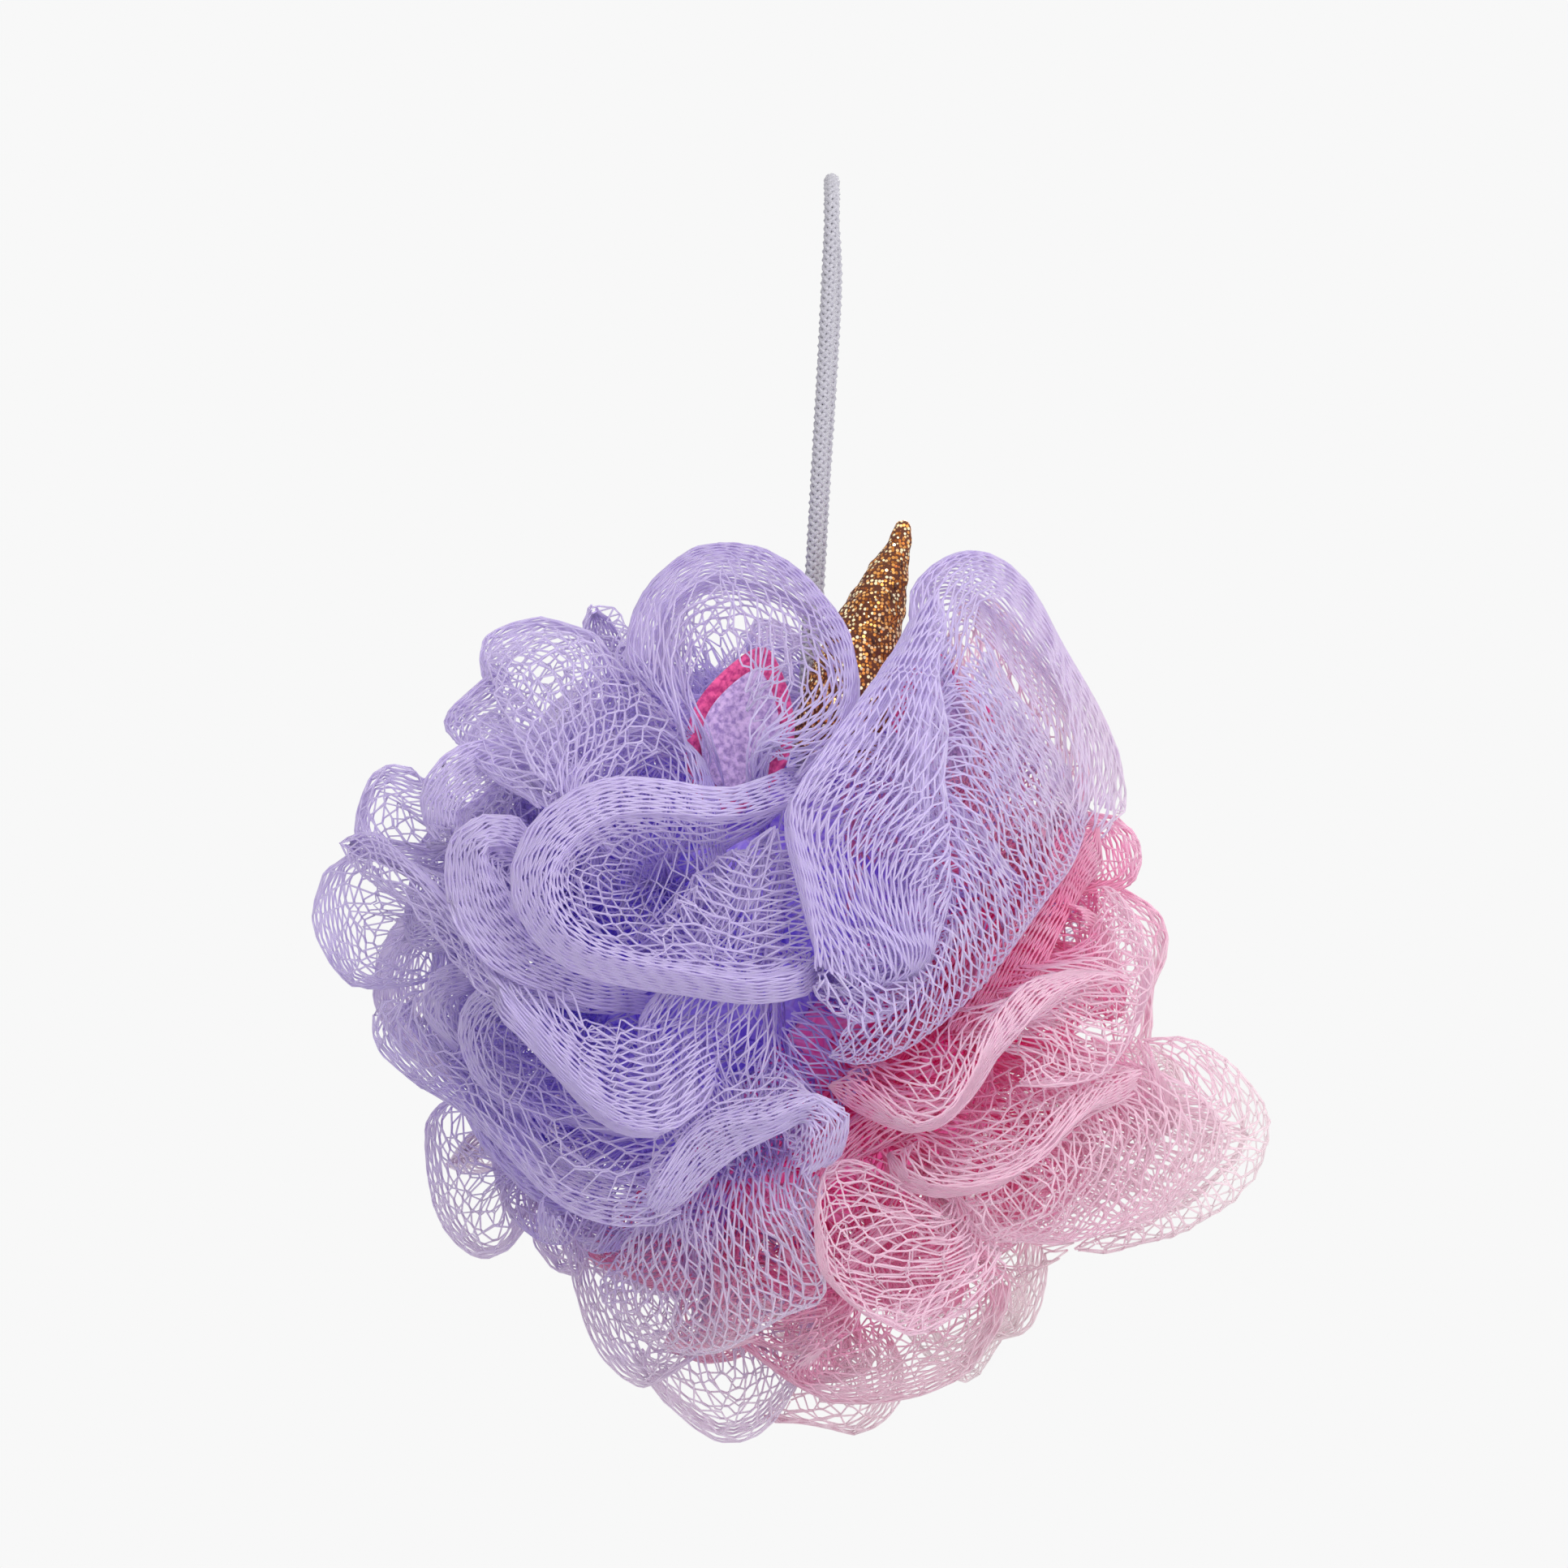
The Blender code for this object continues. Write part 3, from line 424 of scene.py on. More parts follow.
class SpongeNet(bpy.types.PropertyGroup):
    cell: length("Cell Edge", "Length of one edge of the net's cells", 2.95 * MM, least=1.0 * MM)
    strand: length("Strand", "Thickness of the net's strands", 0.32 * MM, least=0.1 * MM)
    least_row: length(
        "Closest Rows", "Least distance between the rows of an open net", 0.42 * MM, least=0.1 * MM)
    # Painted shade and glow: the colours from outside to inside stand for light that has passed more and more
    # strands; the tint is painted light of the room shining through where the net is thin
    lilac_pale: hex_colour("Lilac, Outside", "The lilac net where it stands out", "#f3ecfe")
    lilac_middle: hex_colour("Lilac, Between", "The lilac net between outside and inside", "#e8dcff")
    lilac_deep: hex_colour("Lilac, Inside", "The lilac net near the heart", "#ba9cff")
    lilac_tint: hex_colour("Lilac, by the Pink", "The lilac net near the pink one", "#faf3fc")
    pink_pale: hex_colour("Pink, Outside", "The pink net where it stands out", "#ffeef7")
    pink_middle: hex_colour("Pink, Between", "The pink net between outside and inside", "#ffc2e2")
    pink_deep: hex_colour("Pink, Inside", "The pink net near the heart", "#ff58bc")
    pink_tint: hex_colour("Pink, Far Side", "The pink net furthest from the lilac one", "#fff8fa")
    roughness: bpy.props.FloatProperty(
        name="Roughness", description="Roughness of the net's strands", default=0.38, min=0, max=1)


class SpongeCord(bpy.types.PropertyGroup):
    pairs: bpy.props.IntProperty(
        name="Yarn Pairs", description="Yarns that run each way round the braid", default=4, min=2, max=12)
    turn: length("Turn", "Length of cord in which a yarn goes once round", 4.24 * MM, least=1.0 * MM)
    yarn: length("Yarn", "Thickness of one yarn", 0.68 * MM)
    colour: hex_colour("Yarn Colour", "The yarn where light falls", "#b9b7bf")
    shade: hex_colour("Yarn Shade", "The yarn between its fibres", "#8d8b95")


class SpongeHorn(bpy.types.PropertyGroup):
    base_radius: length("Base Radius", "Radius of the horn at its foot", 6.3 * MM)
    wrinkle: length("Wrinkles", "Depth of the creases in the cloth", 0.42 * MM)
    dot: length("Foil Dots", "Distance between the foil dots", 0.5 * MM, least=0.05 * MM)
    foil: hex_colour("Foil", "Most of the foil dots", "#f2b062")
    cloth: hex_colour("Cloth", "The cloth between the dots", "#5a2a12")


class SpongeEars(bpy.types.PropertyGroup):
    half_width: length("Half Width", "Half the width of an ear", 7.1 * MM)
    half_height: length("Half Height", "Half the height of an ear", 11.5 * MM)
    half_thickness: length("Half Thickness", "Half the thickness of the plush", 1.7 * MM)
    cup: length("Cup", "How far the ear's edges come forward", 2.4 * MM)
    pile: length("Pile", "Height of the tufts", 0.35 * MM)
    plush: hex_colour("Plush", "The ears' outside", "#f0609c")
    lining: hex_colour("Lining", "The ears' inside", "#d9bce6")


class SpongeStage(bpy.types.PropertyGroup):
    backdrop: hex_colour("Backdrop", "Colour behind the sponge", "#f8f8f8")
    floor: hex_colour("Floor", "Colour of the floor", "#d9d9db")
    soft_light: bpy.props.FloatProperty(
        name="Soft Light", description="Strength of the light from all round", default=0.85, min=0)
    key: bpy.props.FloatProperty(
        name="Key", description="Power of the lamp in front", default=11, min=0, unit="POWER")
    fill: bpy.props.FloatProperty(
        name="Fill", description="Power of the lamp at the right", default=6, min=0, unit="POWER")
    back: bpy.props.FloatProperty(
        name="Back", description="Power of the lamp behind", default=6, min=0, unit="POWER")


def linear(colour):
    """The linear colour, with alpha, of an sRGB hex value such as #c0a0b0."""
    parts = [int(colour[k:k + 2], 16) / 255 for k in (1, 3, 5)]
    return (*(c / 12.92 if c <= 0.04045 else ((c + 0.055) / 1.055) ** 2.4 for c in parts), 1.0)


def add_node(tree, kind, inputs=None, stops=(), output=0, **settings):
    """Adds a node with its settings and gives its output. An input is a value or another node's output;
    stops are a ramp's."""
    node = tree.nodes.new("ShaderNode" + kind)
    for name, value in settings.items():
        setattr(node, name, value)
    for name, value in (inputs or {}).items():
        if isinstance(value, bpy.types.NodeSocket):
            tree.links.new(value, node.inputs[name])
        else:
            node.inputs[name].default_value = value
    for k, (position, colour) in enumerate(stops):
        elements = node.color_ramp.elements
        element = elements[k] if k < 2 else elements.new(position)
        element.position = position
        element.color = linear(colour)
    return node.outputs[output]


def surface(tree, shader):
    """Makes a shader the one that shows."""
    tree.links.new(shader, tree.nodes["Material Output"].inputs["Surface"])


def new_material(name):
    """A material with its node tree, and in that the place on the object."""
    made = bpy.data.materials.new(name)
    made.use_nodes = True
    tree = made.node_tree
    tree.nodes.remove(tree.nodes["Principled BSDF"])
    return made, tree, add_node(tree, "TexCoord", output="Object")


def at_photo(column, row, depth):
    """The place in the frame of a point of the photograph, depth in mm from the heart to the viewer."""
    return Vector((
        (column - LOOP_TOP_PX[0]) * PHOTO_SCALE,
        -depth * MM,
        (LOOP_TOP_PX[1] - row) * PHOTO_SCALE + CORD_DIAMETER,
    ))


def distances(line):
    """How far each point of a line is from its start, along it."""
    return np.concatenate([[0], np.cumsum(np.linalg.norm(np.diff(line, axis=0), axis=1))])


def looked_up(line, along, wanted):
    """A line's points at the wanted distances along it."""
    return np.stack([np.interp(wanted, along, line[:, axis]) for axis in range(3)], axis=1)


def smooth_line(points, count):
    """`count` points spaced evenly along a smooth curve through the given ones."""
    given = np.array([tuple(p) for p in points], float)
    if len(given) == 1:
        return np.repeat(given, count, axis=0)
    padded = np.vstack([2 * given[0] - given[1], given, 2 * given[-1] - given[-2]])
    t = np.linspace(0, 1, 16, endpoint=False)[:, None]
    fine = []
    for before, start, end, after in zip(padded, padded[1:], padded[2:], padded[3:]):
        fine.append(0.5 * (
            2 * start
            + (end - before) * t
            + (2 * before - 5 * start + 4 * end - after) * t ** 2
            + (3 * start - before - 3 * end + after) * t ** 3
        ))
    fine = np.vstack(fine + [given[-1:]])
    along = distances(fine)
    return looked_up(fine, along, np.linspace(0, along[-1], count))


def smoothed(values):
    """Each value's mean with its two neighbours on either side."""
    return np.convolve(np.pad(values, 2, mode="edge"), np.full(5, 0.2), "valid")


def unit(vectors):
    """The vectors at a length of one."""
    return vectors / np.maximum(np.linalg.norm(vectors, axis=-1, keepdims=True), 1e-12)


def cord_route(count):
    """The hanging loop's middle line, its bend square to the view."""
    rise = CORD_DIAMETER / 2 - LOOP_BEND_RADIUS
    bend = [
        (0.0, -LOOP_BEND_RADIUS * math.cos(turn), rise + LOOP_BEND_RADIUS * math.sin(turn))
        for turn in (math.radians(a) for a in range(15, 180, 30))
    ]
    up, down = [[(x * MM, -depth * MM, z * MM) for x, depth, z in side] for side in (CORD_UP, CORD_DOWN)]
    return smooth_line(up + bend + down, count)


def horn_line(count, base_radius):
    """The horn's middle line and its radius at each point."""
    points = [at_photo(*place) for place, _ in HORN_LINE]
    line = smooth_line(points, count)
    along = distances(np.array([tuple(p) for p in points]))
    shares = [share for _, share in HORN_LINE]
    return line, base_radius * np.interp(np.linspace(0, along[-1], count), along, shares)


class Fold:
    """A fold's middle surface: a column for each place along its rim, a row for each depth below it."""

    def __init__(self, half, hem, rim, turn, moved, draw):
        self.half = half * MM
        self.hem = hem * MM
        self.phase = draw.uniform(0, 2 * math.pi, 7)
        outer = smooth_line([moved @ at_photo(*p) for p in rim], GRID_COLUMNS)
        inner = smooth_line([moved @ at_photo(*p) for p in turn], GRID_COLUMNS)
        heart = np.array(HEART)
        middle = 0.5 * (outer + inner)
        middle += WALL_BOW * (middle - heart)
        deep = heart + GATHER * (inner - heart)
        self.grid = np.array([smooth_line(line, GRID_ROWS) for line in zip(outer, middle, inner, deep)])
        self.lengths = np.linalg.norm(np.diff(self.grid, axis=1), axis=2).sum(axis=1)
        across = np.gradient(self.grid, axis=0)
        self.widths = np.linalg.norm(across, axis=2) * (GRID_COLUMNS - 1)
        self.normals = unit(np.cross(across, np.gradient(self.grid, axis=1)))
        for _ in range(3):
            self.normals[1:-1] = unit(self.normals[:-2] + 2 * self.normals[1:-1] + self.normals[2:])

    def look(self, field, along, depth):
        """A grid's value at a share of the way along the rim and a depth below it."""
        column = np.clip(along, 0, 1) * (GRID_COLUMNS - 1)
        i = np.clip(column.astype(int), 0, GRID_COLUMNS - 2)
        a = column - i
        length = self.lengths[i] * (1 - a) + self.lengths[i + 1] * a
        row = np.clip(depth / length, 0, 1) * (GRID_ROWS - 1)
        j = np.clip(row.astype(int), 0, GRID_ROWS - 2)
        b = row - j
        if field.ndim == 3:
            a = a[..., None]
            b = b[..., None]
        near = (1 - a) * field[i, j] + a * field[i + 1, j]
        far = (1 - a) * field[i, j + 1] + a * field[i + 1, j + 1]
        return (1 - b) * near + b * far

    def section(self, along, arc):
        """Depth and half thickness at a distance from the crest's middle: flat, then a rounded corner, then
        down the wall, which narrows towards the heart and closes at the fold's ends."""
        half = self.half * (1 + SWELL * np.sin(self.phase[5] + 9 * along))
        flat = half * (HEMMED_FLAT if self.hem > SHARP_HEM else PLAIN_FLAT)
        corner = half - flat
        turn = np.clip((arc - flat) / corner, 0, 0.5 * math.pi)
        below = np.maximum(arc - flat - 0.5 * math.pi * corner, 0)
        length = np.interp(along, np.linspace(0, 1, GRID_COLUMNS), self.lengths)
        neck = 1 - NECK_NARROWING * np.clip(below / np.maximum(length - corner, MM), 0, 1)
        depth = corner * (1 - np.cos(turn)) + below
        pinch = np.sqrt(np.clip(np.minimum(along, 1 - along) / PINCH, 0.02, 1))
        return depth, (np.minimum(arc, flat) + corner * np.sin(turn)) * neck * pinch

    def place(self, along, arc, side):
        """Where a point of the front or the back wall lies. The crest leans to one side and then the other
        along the rim, as a twisted ribbon does, and waves of unlike lengths make the net uneven."""
        depth, offset = self.section(along, arc)
        mm = depth / MM
        phase = self.phase
        sway = np.sin(phase[0] + 19 * along + 0.23 * mm * side) * np.sin(phase[1] + 0.31 * mm - 7 * along)
        slip = np.sin(phase[2] + 31 * along * side - 0.17 * mm) * np.sin(phase[3] + 0.45 * mm + 11 * along)
        settle = np.clip(mm / SETTLED_MM, 0, 1)
        lean = TILT * np.sin(phase[6] + 8 * along) * np.exp(-depth / TILT_DEPTH)
        depth = depth + np.abs(lean) * self.half + lean * side * offset
        along = along + SLIP * slip * settle / self.widths[:, 0].mean()
        offset = side * offset + SWAY * sway * settle
        return self.look(self.grid, along, depth) + self.look(self.normals, along, depth) * offset[:, None]

    def hem_reach(self, along):
        """How far the hem comes down each side, uneven along the rim and narrow at the fold's ends."""
        uneven = 0.85 + 0.3 * np.sin(self.phase[4] + 13 * along) + 0.2 * np.sin(self.phase[6] + 31 * along)
        taper = np.clip(np.minimum(along, 1 - along) / HEM_TAPER, 0.3, 1)
        return self.hem * uneven * taper


def joint_rows(fold, columns, settings, reach, draw):
    """Where each row of joints lies: shares of the way along the rim, and distances from the crest's
    middle. The rows lie side by side in the hem and part little by little below it; the wider the net is
    stretched there, the closer they stay."""
    even = np.arange(columns + 1)
    hem = fold.hem_reach(even / columns)
    rows = [np.zeros(columns + 1)]
    drifts = [np.zeros(columns + 1)]
    while len(rows) < MOST_ROWS:
        wide = fold.look(fold.widths, even / columns, rows[-1])
        span = np.sqrt(wide * fold.widths[:, 0].mean()) / columns
        rise = np.sqrt(np.maximum(settings.cell ** 2 - span ** 2, settings.least_row ** 2))
        loose = np.clip((rows[-1] - hem - LOOSE_FROM) / LOOSENING, 0, 1)
        rise = (SHUT_ROW + (rise - SHUT_ROW) * loose) * draw.lognormal(0, UNEVEN_ROWS, columns + 1)
        below = rows[-1] + smoothed(rise)
        if below.min() > reach or (below > DEEPEST * fold.lengths.min()).any():
            break
        rows.append(below)
        drifts.append(drifts[-1] + smoothed(draw.normal(0, DRIFT, columns + 1) * (1.1 - loose)))
    held = np.clip(np.minimum(even, columns - even) / 2, 0, 1)
    return (even + held * np.array(drifts)) / columns, np.array(rows)


def zigzags(shares, rows, shut, jointed):
    """Each strand's points as (share along the rim, distance from the crest's middle): along the rim in the
    rows that are shut, and down from there in the others."""
    lines = []

    def add(start, end, least, step):
        """Adds the strand through these joints, plain ones if its rows are closer than the least; step is 1
        for a strand along the rim and -1 for one down the wall."""
        run = (shares[end] - shares[start])[:, None]
        fall = (rows[end] - rows[start])[:, None]
        ends = JOINT_ENDS if jointed and np.abs(fall).mean() > least else PLAIN_ENDS
        t, w = ends.T[::step]
        along = shares[start][:, None] + run * t
        arc = rows[start][:, None] + fall * w
        lines.append((along.ravel(), arc.ravel()))

    i = np.arange(rows.shape[1] - 1)
    for row in range(min(shut, len(rows) - 1)):
        add((row + ((i + row) & 1), i), (row + ((i + 1 + row) & 1), i + 1), FINE_ROW, 1)
    k = np.arange(shut, len(rows) - 1)
    for column in i if len(k) > 1 else ():
        add((k, column + ((column + k) & 1)), (k + 1, column + ((column + k + 1) & 1)), 0, -1)
    return lines


def fold_strands(fold, stretch, layer, settings, draw):
    """The strands of one fold's net, front wall and back wall, each an array of points."""
    columns = 2 * max(4, round(fold.widths[:, 0].mean() / (2 * settings.cell * stretch)))
    _, _, _, jointed, reach, _ = LAYERS[layer]
    strands = []
    for side in (1, -1):
        shares, rows = joint_rows(fold, columns, settings, reach * MM, draw)
        shut = len(rows) if stretch >= FAN_BELOW else int((rows.mean(axis=1) < fold.hem).sum())
        strands += [fold.place(along, arc, side) for along, arc in zigzags(shares, rows, shut, jointed)]
    return strands


def ear_stand(ear):
    """How an ear is placed and turned."""
    where, tilt = EARS[ear]
    return Matrix.Translation(at_photo(*where)) @ Matrix.Rotation(math.radians(tilt), 4, "Y")


def room_test(context):
    """A test that says which points stay clear of the heart, the horn, the ears and the cord."""
    ears = context.scene.sponge_ears
    horn, radii = horn_line(ROOM_HORN_POINTS, context.scene.sponge_horn.base_radius)
    cord = cord_route(ROOM_CORD_POINTS)
    centres = np.vstack([horn, cord])
    reaches = np.concatenate([radii, np.full(len(cord), CORD_DIAMETER / 2)]) + CLEARANCE
    heart = np.array(HEART)
    size = np.array((HEART_RADIUS, HEART_DEPTH, HEART_RADIUS)) * HEART_CORE
    leaves = [np.array(ear_stand(ear).inverted()) for ear in EARS]

    def clear(points):
        keep = np.linalg.norm((points - heart) / size, axis=1) > 1
        gaps = np.linalg.norm(points[:, None] - centres, axis=2) - reaches
        keep &= gaps.min(axis=1) > 0
        for leaf in leaves:
            local = points @ leaf[:3, :3].T + leaf[:3, 3]
            x = local[:, 0] / (ears.half_width + CLEARANCE)
            y = (local[:, 1] + ears.cup * x ** 2 + EAR_ROOM_SHIFT) / (ears.half_thickness + EAR_ROOM)
            z = local[:, 2] / (ears.half_height + CLEARANCE)
            keep &= x ** 2 + y ** 2 + z ** 2 > 1
        return keep

    return clear


def runs(points, keep):
    """The stretches of a strand that are kept."""
    edges = np.flatnonzero(np.diff(np.concatenate([[0], keep.astype(int), [0]])))
    return [points[a:b] for a, b in zip(edges[::2], edges[1::2]) if b - a > 1]


def layer_place(layer):
    """How a layer is turned and sized about the heart."""
    turn, size, *_ = LAYERS[layer]
    about = Matrix.Rotation(math.radians(turn), 4, COLOUR_AXIS) @ Matrix.Scale(size, 4)
    return Matrix.Translation(HEART) @ about @ Matrix.Translation(-HEART)


def belt_fold(angle, radius, start, end):
    """The rim and turn of a fold that crosses from back to front in a wave."""
    def place(heading, reach, depth):
        column, row = HEART_PX
        return column + reach * math.cos(heading), row - reach * math.sin(heading), depth

    rim = []
    turn = []
    for k in range(BELT_POINTS):
        t = k / (BELT_POINTS - 1)
        swing = BELT_SWING * math.sin(2 * math.pi * t + angle) + BELT_LEAN * (2 * t - 1)
        reach = radius * MM / PHOTO_SCALE * (1 - BELT_END_DROP * (2 * t - 1) ** 2)
        depth = start + (end - start) * t
        rim.append(place(math.radians(angle + swing), reach, depth))
        turn.append(place(math.radians(angle), BELT_TURN * reach, BELT_TURN_DEPTH * depth))
    return rim, turn[::3]


def added(name, data):
    """An object of the data, in the scene."""
    made = bpy.data.objects.new(name, data)
    bpy.context.scene.collection.objects.link(made)
    return made


def added_mesh(name, mesh, paint):
    """A smooth object of a bmesh, which is freed."""
    data = bpy.data.meshes.new(name)
    mesh.to_mesh(data)
    mesh.free()
    data.shade_smooth()
    data.materials.append(paint)
    return added(name, data)


def stand_in(piece, node):
    """A piece rides on the one body and stands in for the solid, which is hidden."""
    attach(piece, "root")
    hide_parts(node)


def discard(source):
    """Removes a curve object and its data."""
    data = source.data
    bpy.data.objects.remove(source)
    bpy.data.curves.remove(data)


def strand_section(thickness):
    """The three-sided section that every strand is swept with."""
    data = bpy.data.curves.new("strand section", "CURVE")
    data.dimensions = "2D"
    spline = data.splines.new("POLY")
    spline.points.add(2)
    for k, point in enumerate(spline.points):
        turn = 2 * math.pi * k / 3
        point.co = (thickness / 2 * math.cos(turn), thickness / 2 * math.sin(turn), 0, 1)
    spline.use_cyclic_u = True
    return added("strand section", data)


def swept(name, lines, paint, section=None, radius=0.0, resolution=1, radii=None):
    """A mesh of tubes along the lines, of a section object or of a round radius."""
    curve = bpy.data.curves.new(name, "CURVE")
    curve.dimensions = "3D"
    curve.twist_mode = "MINIMUM"
    curve.use_fill_caps = True
    if section:
        curve.bevel_mode = "OBJECT"
        curve.bevel_object = section
    else:
        curve.bevel_depth = radius
        curve.bevel_resolution = resolution
    for line in lines:
        spline = curve.splines.new("POLY")
        spline.points.add(len(line) - 1)
        spline.points.foreach_set("co", np.column_stack([line, np.ones(len(line))]).ravel())
        if radii is not None:
            spline.points.foreach_set("radius", radii)
    source = added(name, curve)
    data = bpy.data.meshes.new_from_object(source.evaluated_get(bpy.context.evaluated_depsgraph_get()))
    data.name = name
    data.materials.clear()
    data.materials.append(paint)
    discard(source)
    return added(name, data)


def layer_folds(folds, layer, draw):
    """The folds of a table that a layer has, turned and sized for it."""
    _, _, least_depth, _, _, hem_share = LAYERS[layer]
    moved = layer_place(layer)
    return [
        (stretch, Fold(half, hem * hem_share, rim, turn, moved, draw))
        for stretch, half, hem, rim, turn in folds
        if sum(p[2] for p in rim) / len(rim) >= least_depth
    ]


def strand_piece(context, name, node, strands, paint):
    """A mesh of strands, left out where the heart, the horn, the ears or the cord lie."""
    clear = room_test(context)
    section = strand_section(context.scene.sponge_net.strand)
    piece = swept(name, [run for strand in strands for run in runs(strand, clear(strand))], paint, section)
    discard(section)
    stand_in(piece, node)


def net_colour_with_painted_light(tree, place, pale, middle, deep, tint, tint_range):
    """The net's colour by its distance from the heart, a painted shade and glow that deepens where the light
    has passed many strands, and a tint that comes in along the tint's axis, painted light where the net is
    thin and the room shines through."""
    distance = add_node(tree, "VectorMath", {0: place, 1: HEART}, operation="DISTANCE", output="Value")
    patches = add_node(tree, "TexNoise", {"Vector": place, "Scale": 1 / SHADE_PATCH, "Detail": 2.0})
    shift = add_node(tree, "MapRange", {0: patches, 1: 0.3, 2: 0.7, 3: -SHADE_VARIES, 4: SHADE_VARIES})
    shifted = add_node(tree, "Math", {0: distance, 1: shift}, operation="ADD")
    share = add_node(tree, "MapRange", {0: shifted, 1: SHADE_FROM, 2: SHADE_TO})
    # Painted shade: the ramp deepens the net's colour towards the heart
    colour = add_node(tree, "ValToRGB", {0: share}, stops=(
        (0.0, deep), (0.45, middle), (0.85, pale), (1.0, pale)))
    # Painted light: the tint pales the net along its axis, where the room shines through the thin net
    out = add_node(tree, "VectorMath", {0: place, 1: HEART}, operation="SUBTRACT")
    across = add_node(tree, "VectorMath", {0: out, 1: TINT_AXIS}, operation="DOT_PRODUCT", output="Value")
    start, end = tint_range
    tinted = add_node(tree, "MapRange", {0: across, 1: start, 2: end, 4: share})
    return add_node(tree, "Mix", {0: tinted, 6: colour, 7: linear(tint)}, data_type="RGBA", output=2)


def net_material(name, colours, roughness):
    """Extruded polyethylene net: thin satin strands that let light through. They pale where they stand out
    and turn to a strong colour towards the gathered heart, a painted shade and glow of light that has passed
    many strands."""
    made, tree, place = new_material(name)
    colour = net_colour_with_painted_light(tree, place, *colours)
    streaks = add_node(tree, "TexNoise", {"Vector": place, "Scale": 1 / (0.8 * MM), "Detail": 1.0})
    bump = add_node(tree, "Bump", {"Strength": 0.25, "Distance": 0.05 * MM, "Height": streaks})
    satin = add_node(tree, "BsdfPrincipled", {
        "Base Color": colour, "Roughness": roughness, "IOR": 1.5, "Specular IOR Level": 0.2,
        "Normal": bump})
    glow = add_node(tree, "BsdfTranslucent", {"Color": colour})
    mixed = add_node(tree, "MixShader", {0: THROUGH, 1: satin, 2: glow})
    surface(tree, mixed)
    return made


def heart_material(name, shut, open_, roughness):
    """The same net drawn tight round the cord: many crossing strands, with painted shade between them and in
    the gathers' creases.
    """
    made, tree, place = new_material(name)
    ruffle = add_node(tree, "Attribute", attribute_name="ruffle", output="Fac")
    cells = add_node(tree, "TexVoronoi", {"Vector": place, "Scale": 1 / (2.2 * MM), "Randomness": 0.8},
                     feature="DISTANCE_TO_EDGE", output="Distance")
    # Painted shade: darker in the cells between the strands
    strand = add_node(tree, "MapRange", {0: cells, 1: 0.02, 2: 0.2, 3: 0.35, 4: -0.25})
    # Painted shade: darker in the gathers' creases, where the ruffle is low
    share = add_node(tree, "Math", {0: ruffle, 1: strand}, operation="ADD", use_clamp=True)
    colour = add_node(tree, "ValToRGB", {0: share}, stops=((0.0, shut), (1.0, open_)))
    bump = add_node(tree, "Bump", {"Strength": 0.6, "Distance": 0.5 * MM, "Height": strand})
    satin = add_node(tree, "BsdfPrincipled", {
        "Base Color": colour, "Roughness": roughness, "Specular IOR Level": 0.2, "Normal": bump})
    surface(tree, satin)
    return made


def heart_half(name, node, side, paint):
    """Half of the gathered heart: a ruffled ball cut at the plane where the two nets meet. Eleven ruffles and
    seventeen smaller ones run round the axis and drift along it."""
    mesh = bmesh.new()
    bmesh.ops.create_icosphere(mesh, subdivisions=5, radius=1.0)
    ruffles = mesh.verts.layers.float.new("ruffle")
    turn = COLOUR_AXIS.rotation_difference(Vector((0, 0, 1)))
    for vert in mesh.verts:
        out = vert.co.copy()
        local = turn @ out
        around = math.atan2(local.y, local.x)
        wave = math.sin(11 * around + 5 * local.z * side + 1.5 * math.sin(7 * local.z))
        wave += 0.6 * math.sin(17 * around - 9 * local.z + 2.0 * math.sin(3 * around))
        height = 0.5 + 0.5 * wave / 1.6
        vert[ruffles] = height
        reach = 1 - RUFFLE_DEPTH + RUFFLE_DEPTH * height
        vert.co = HEART + Vector((
            out.x * HEART_RADIUS * reach, out.y * HEART_DEPTH * reach, out.z * HEART_RADIUS * reach))
    parting = bmesh.ops.bisect_plane(
        mesh,
        geom=mesh.verts[:] + mesh.edges[:] + mesh.faces[:],
        plane_co=HEART + COLOUR_AXIS * COLOUR_SHIFT,
        plane_no=COLOUR_AXIS * side,
        clear_outer=True,
    )["geom_cut"]
    bmesh.ops.edgeloop_fill(mesh, edges=[g for g in parting if isinstance(g, bmesh.types.BMEdge)])
    bmesh.ops.recalc_face_normals(mesh, faces=mesh.faces)
    stand_in(added_mesh(name, mesh, paint), node)


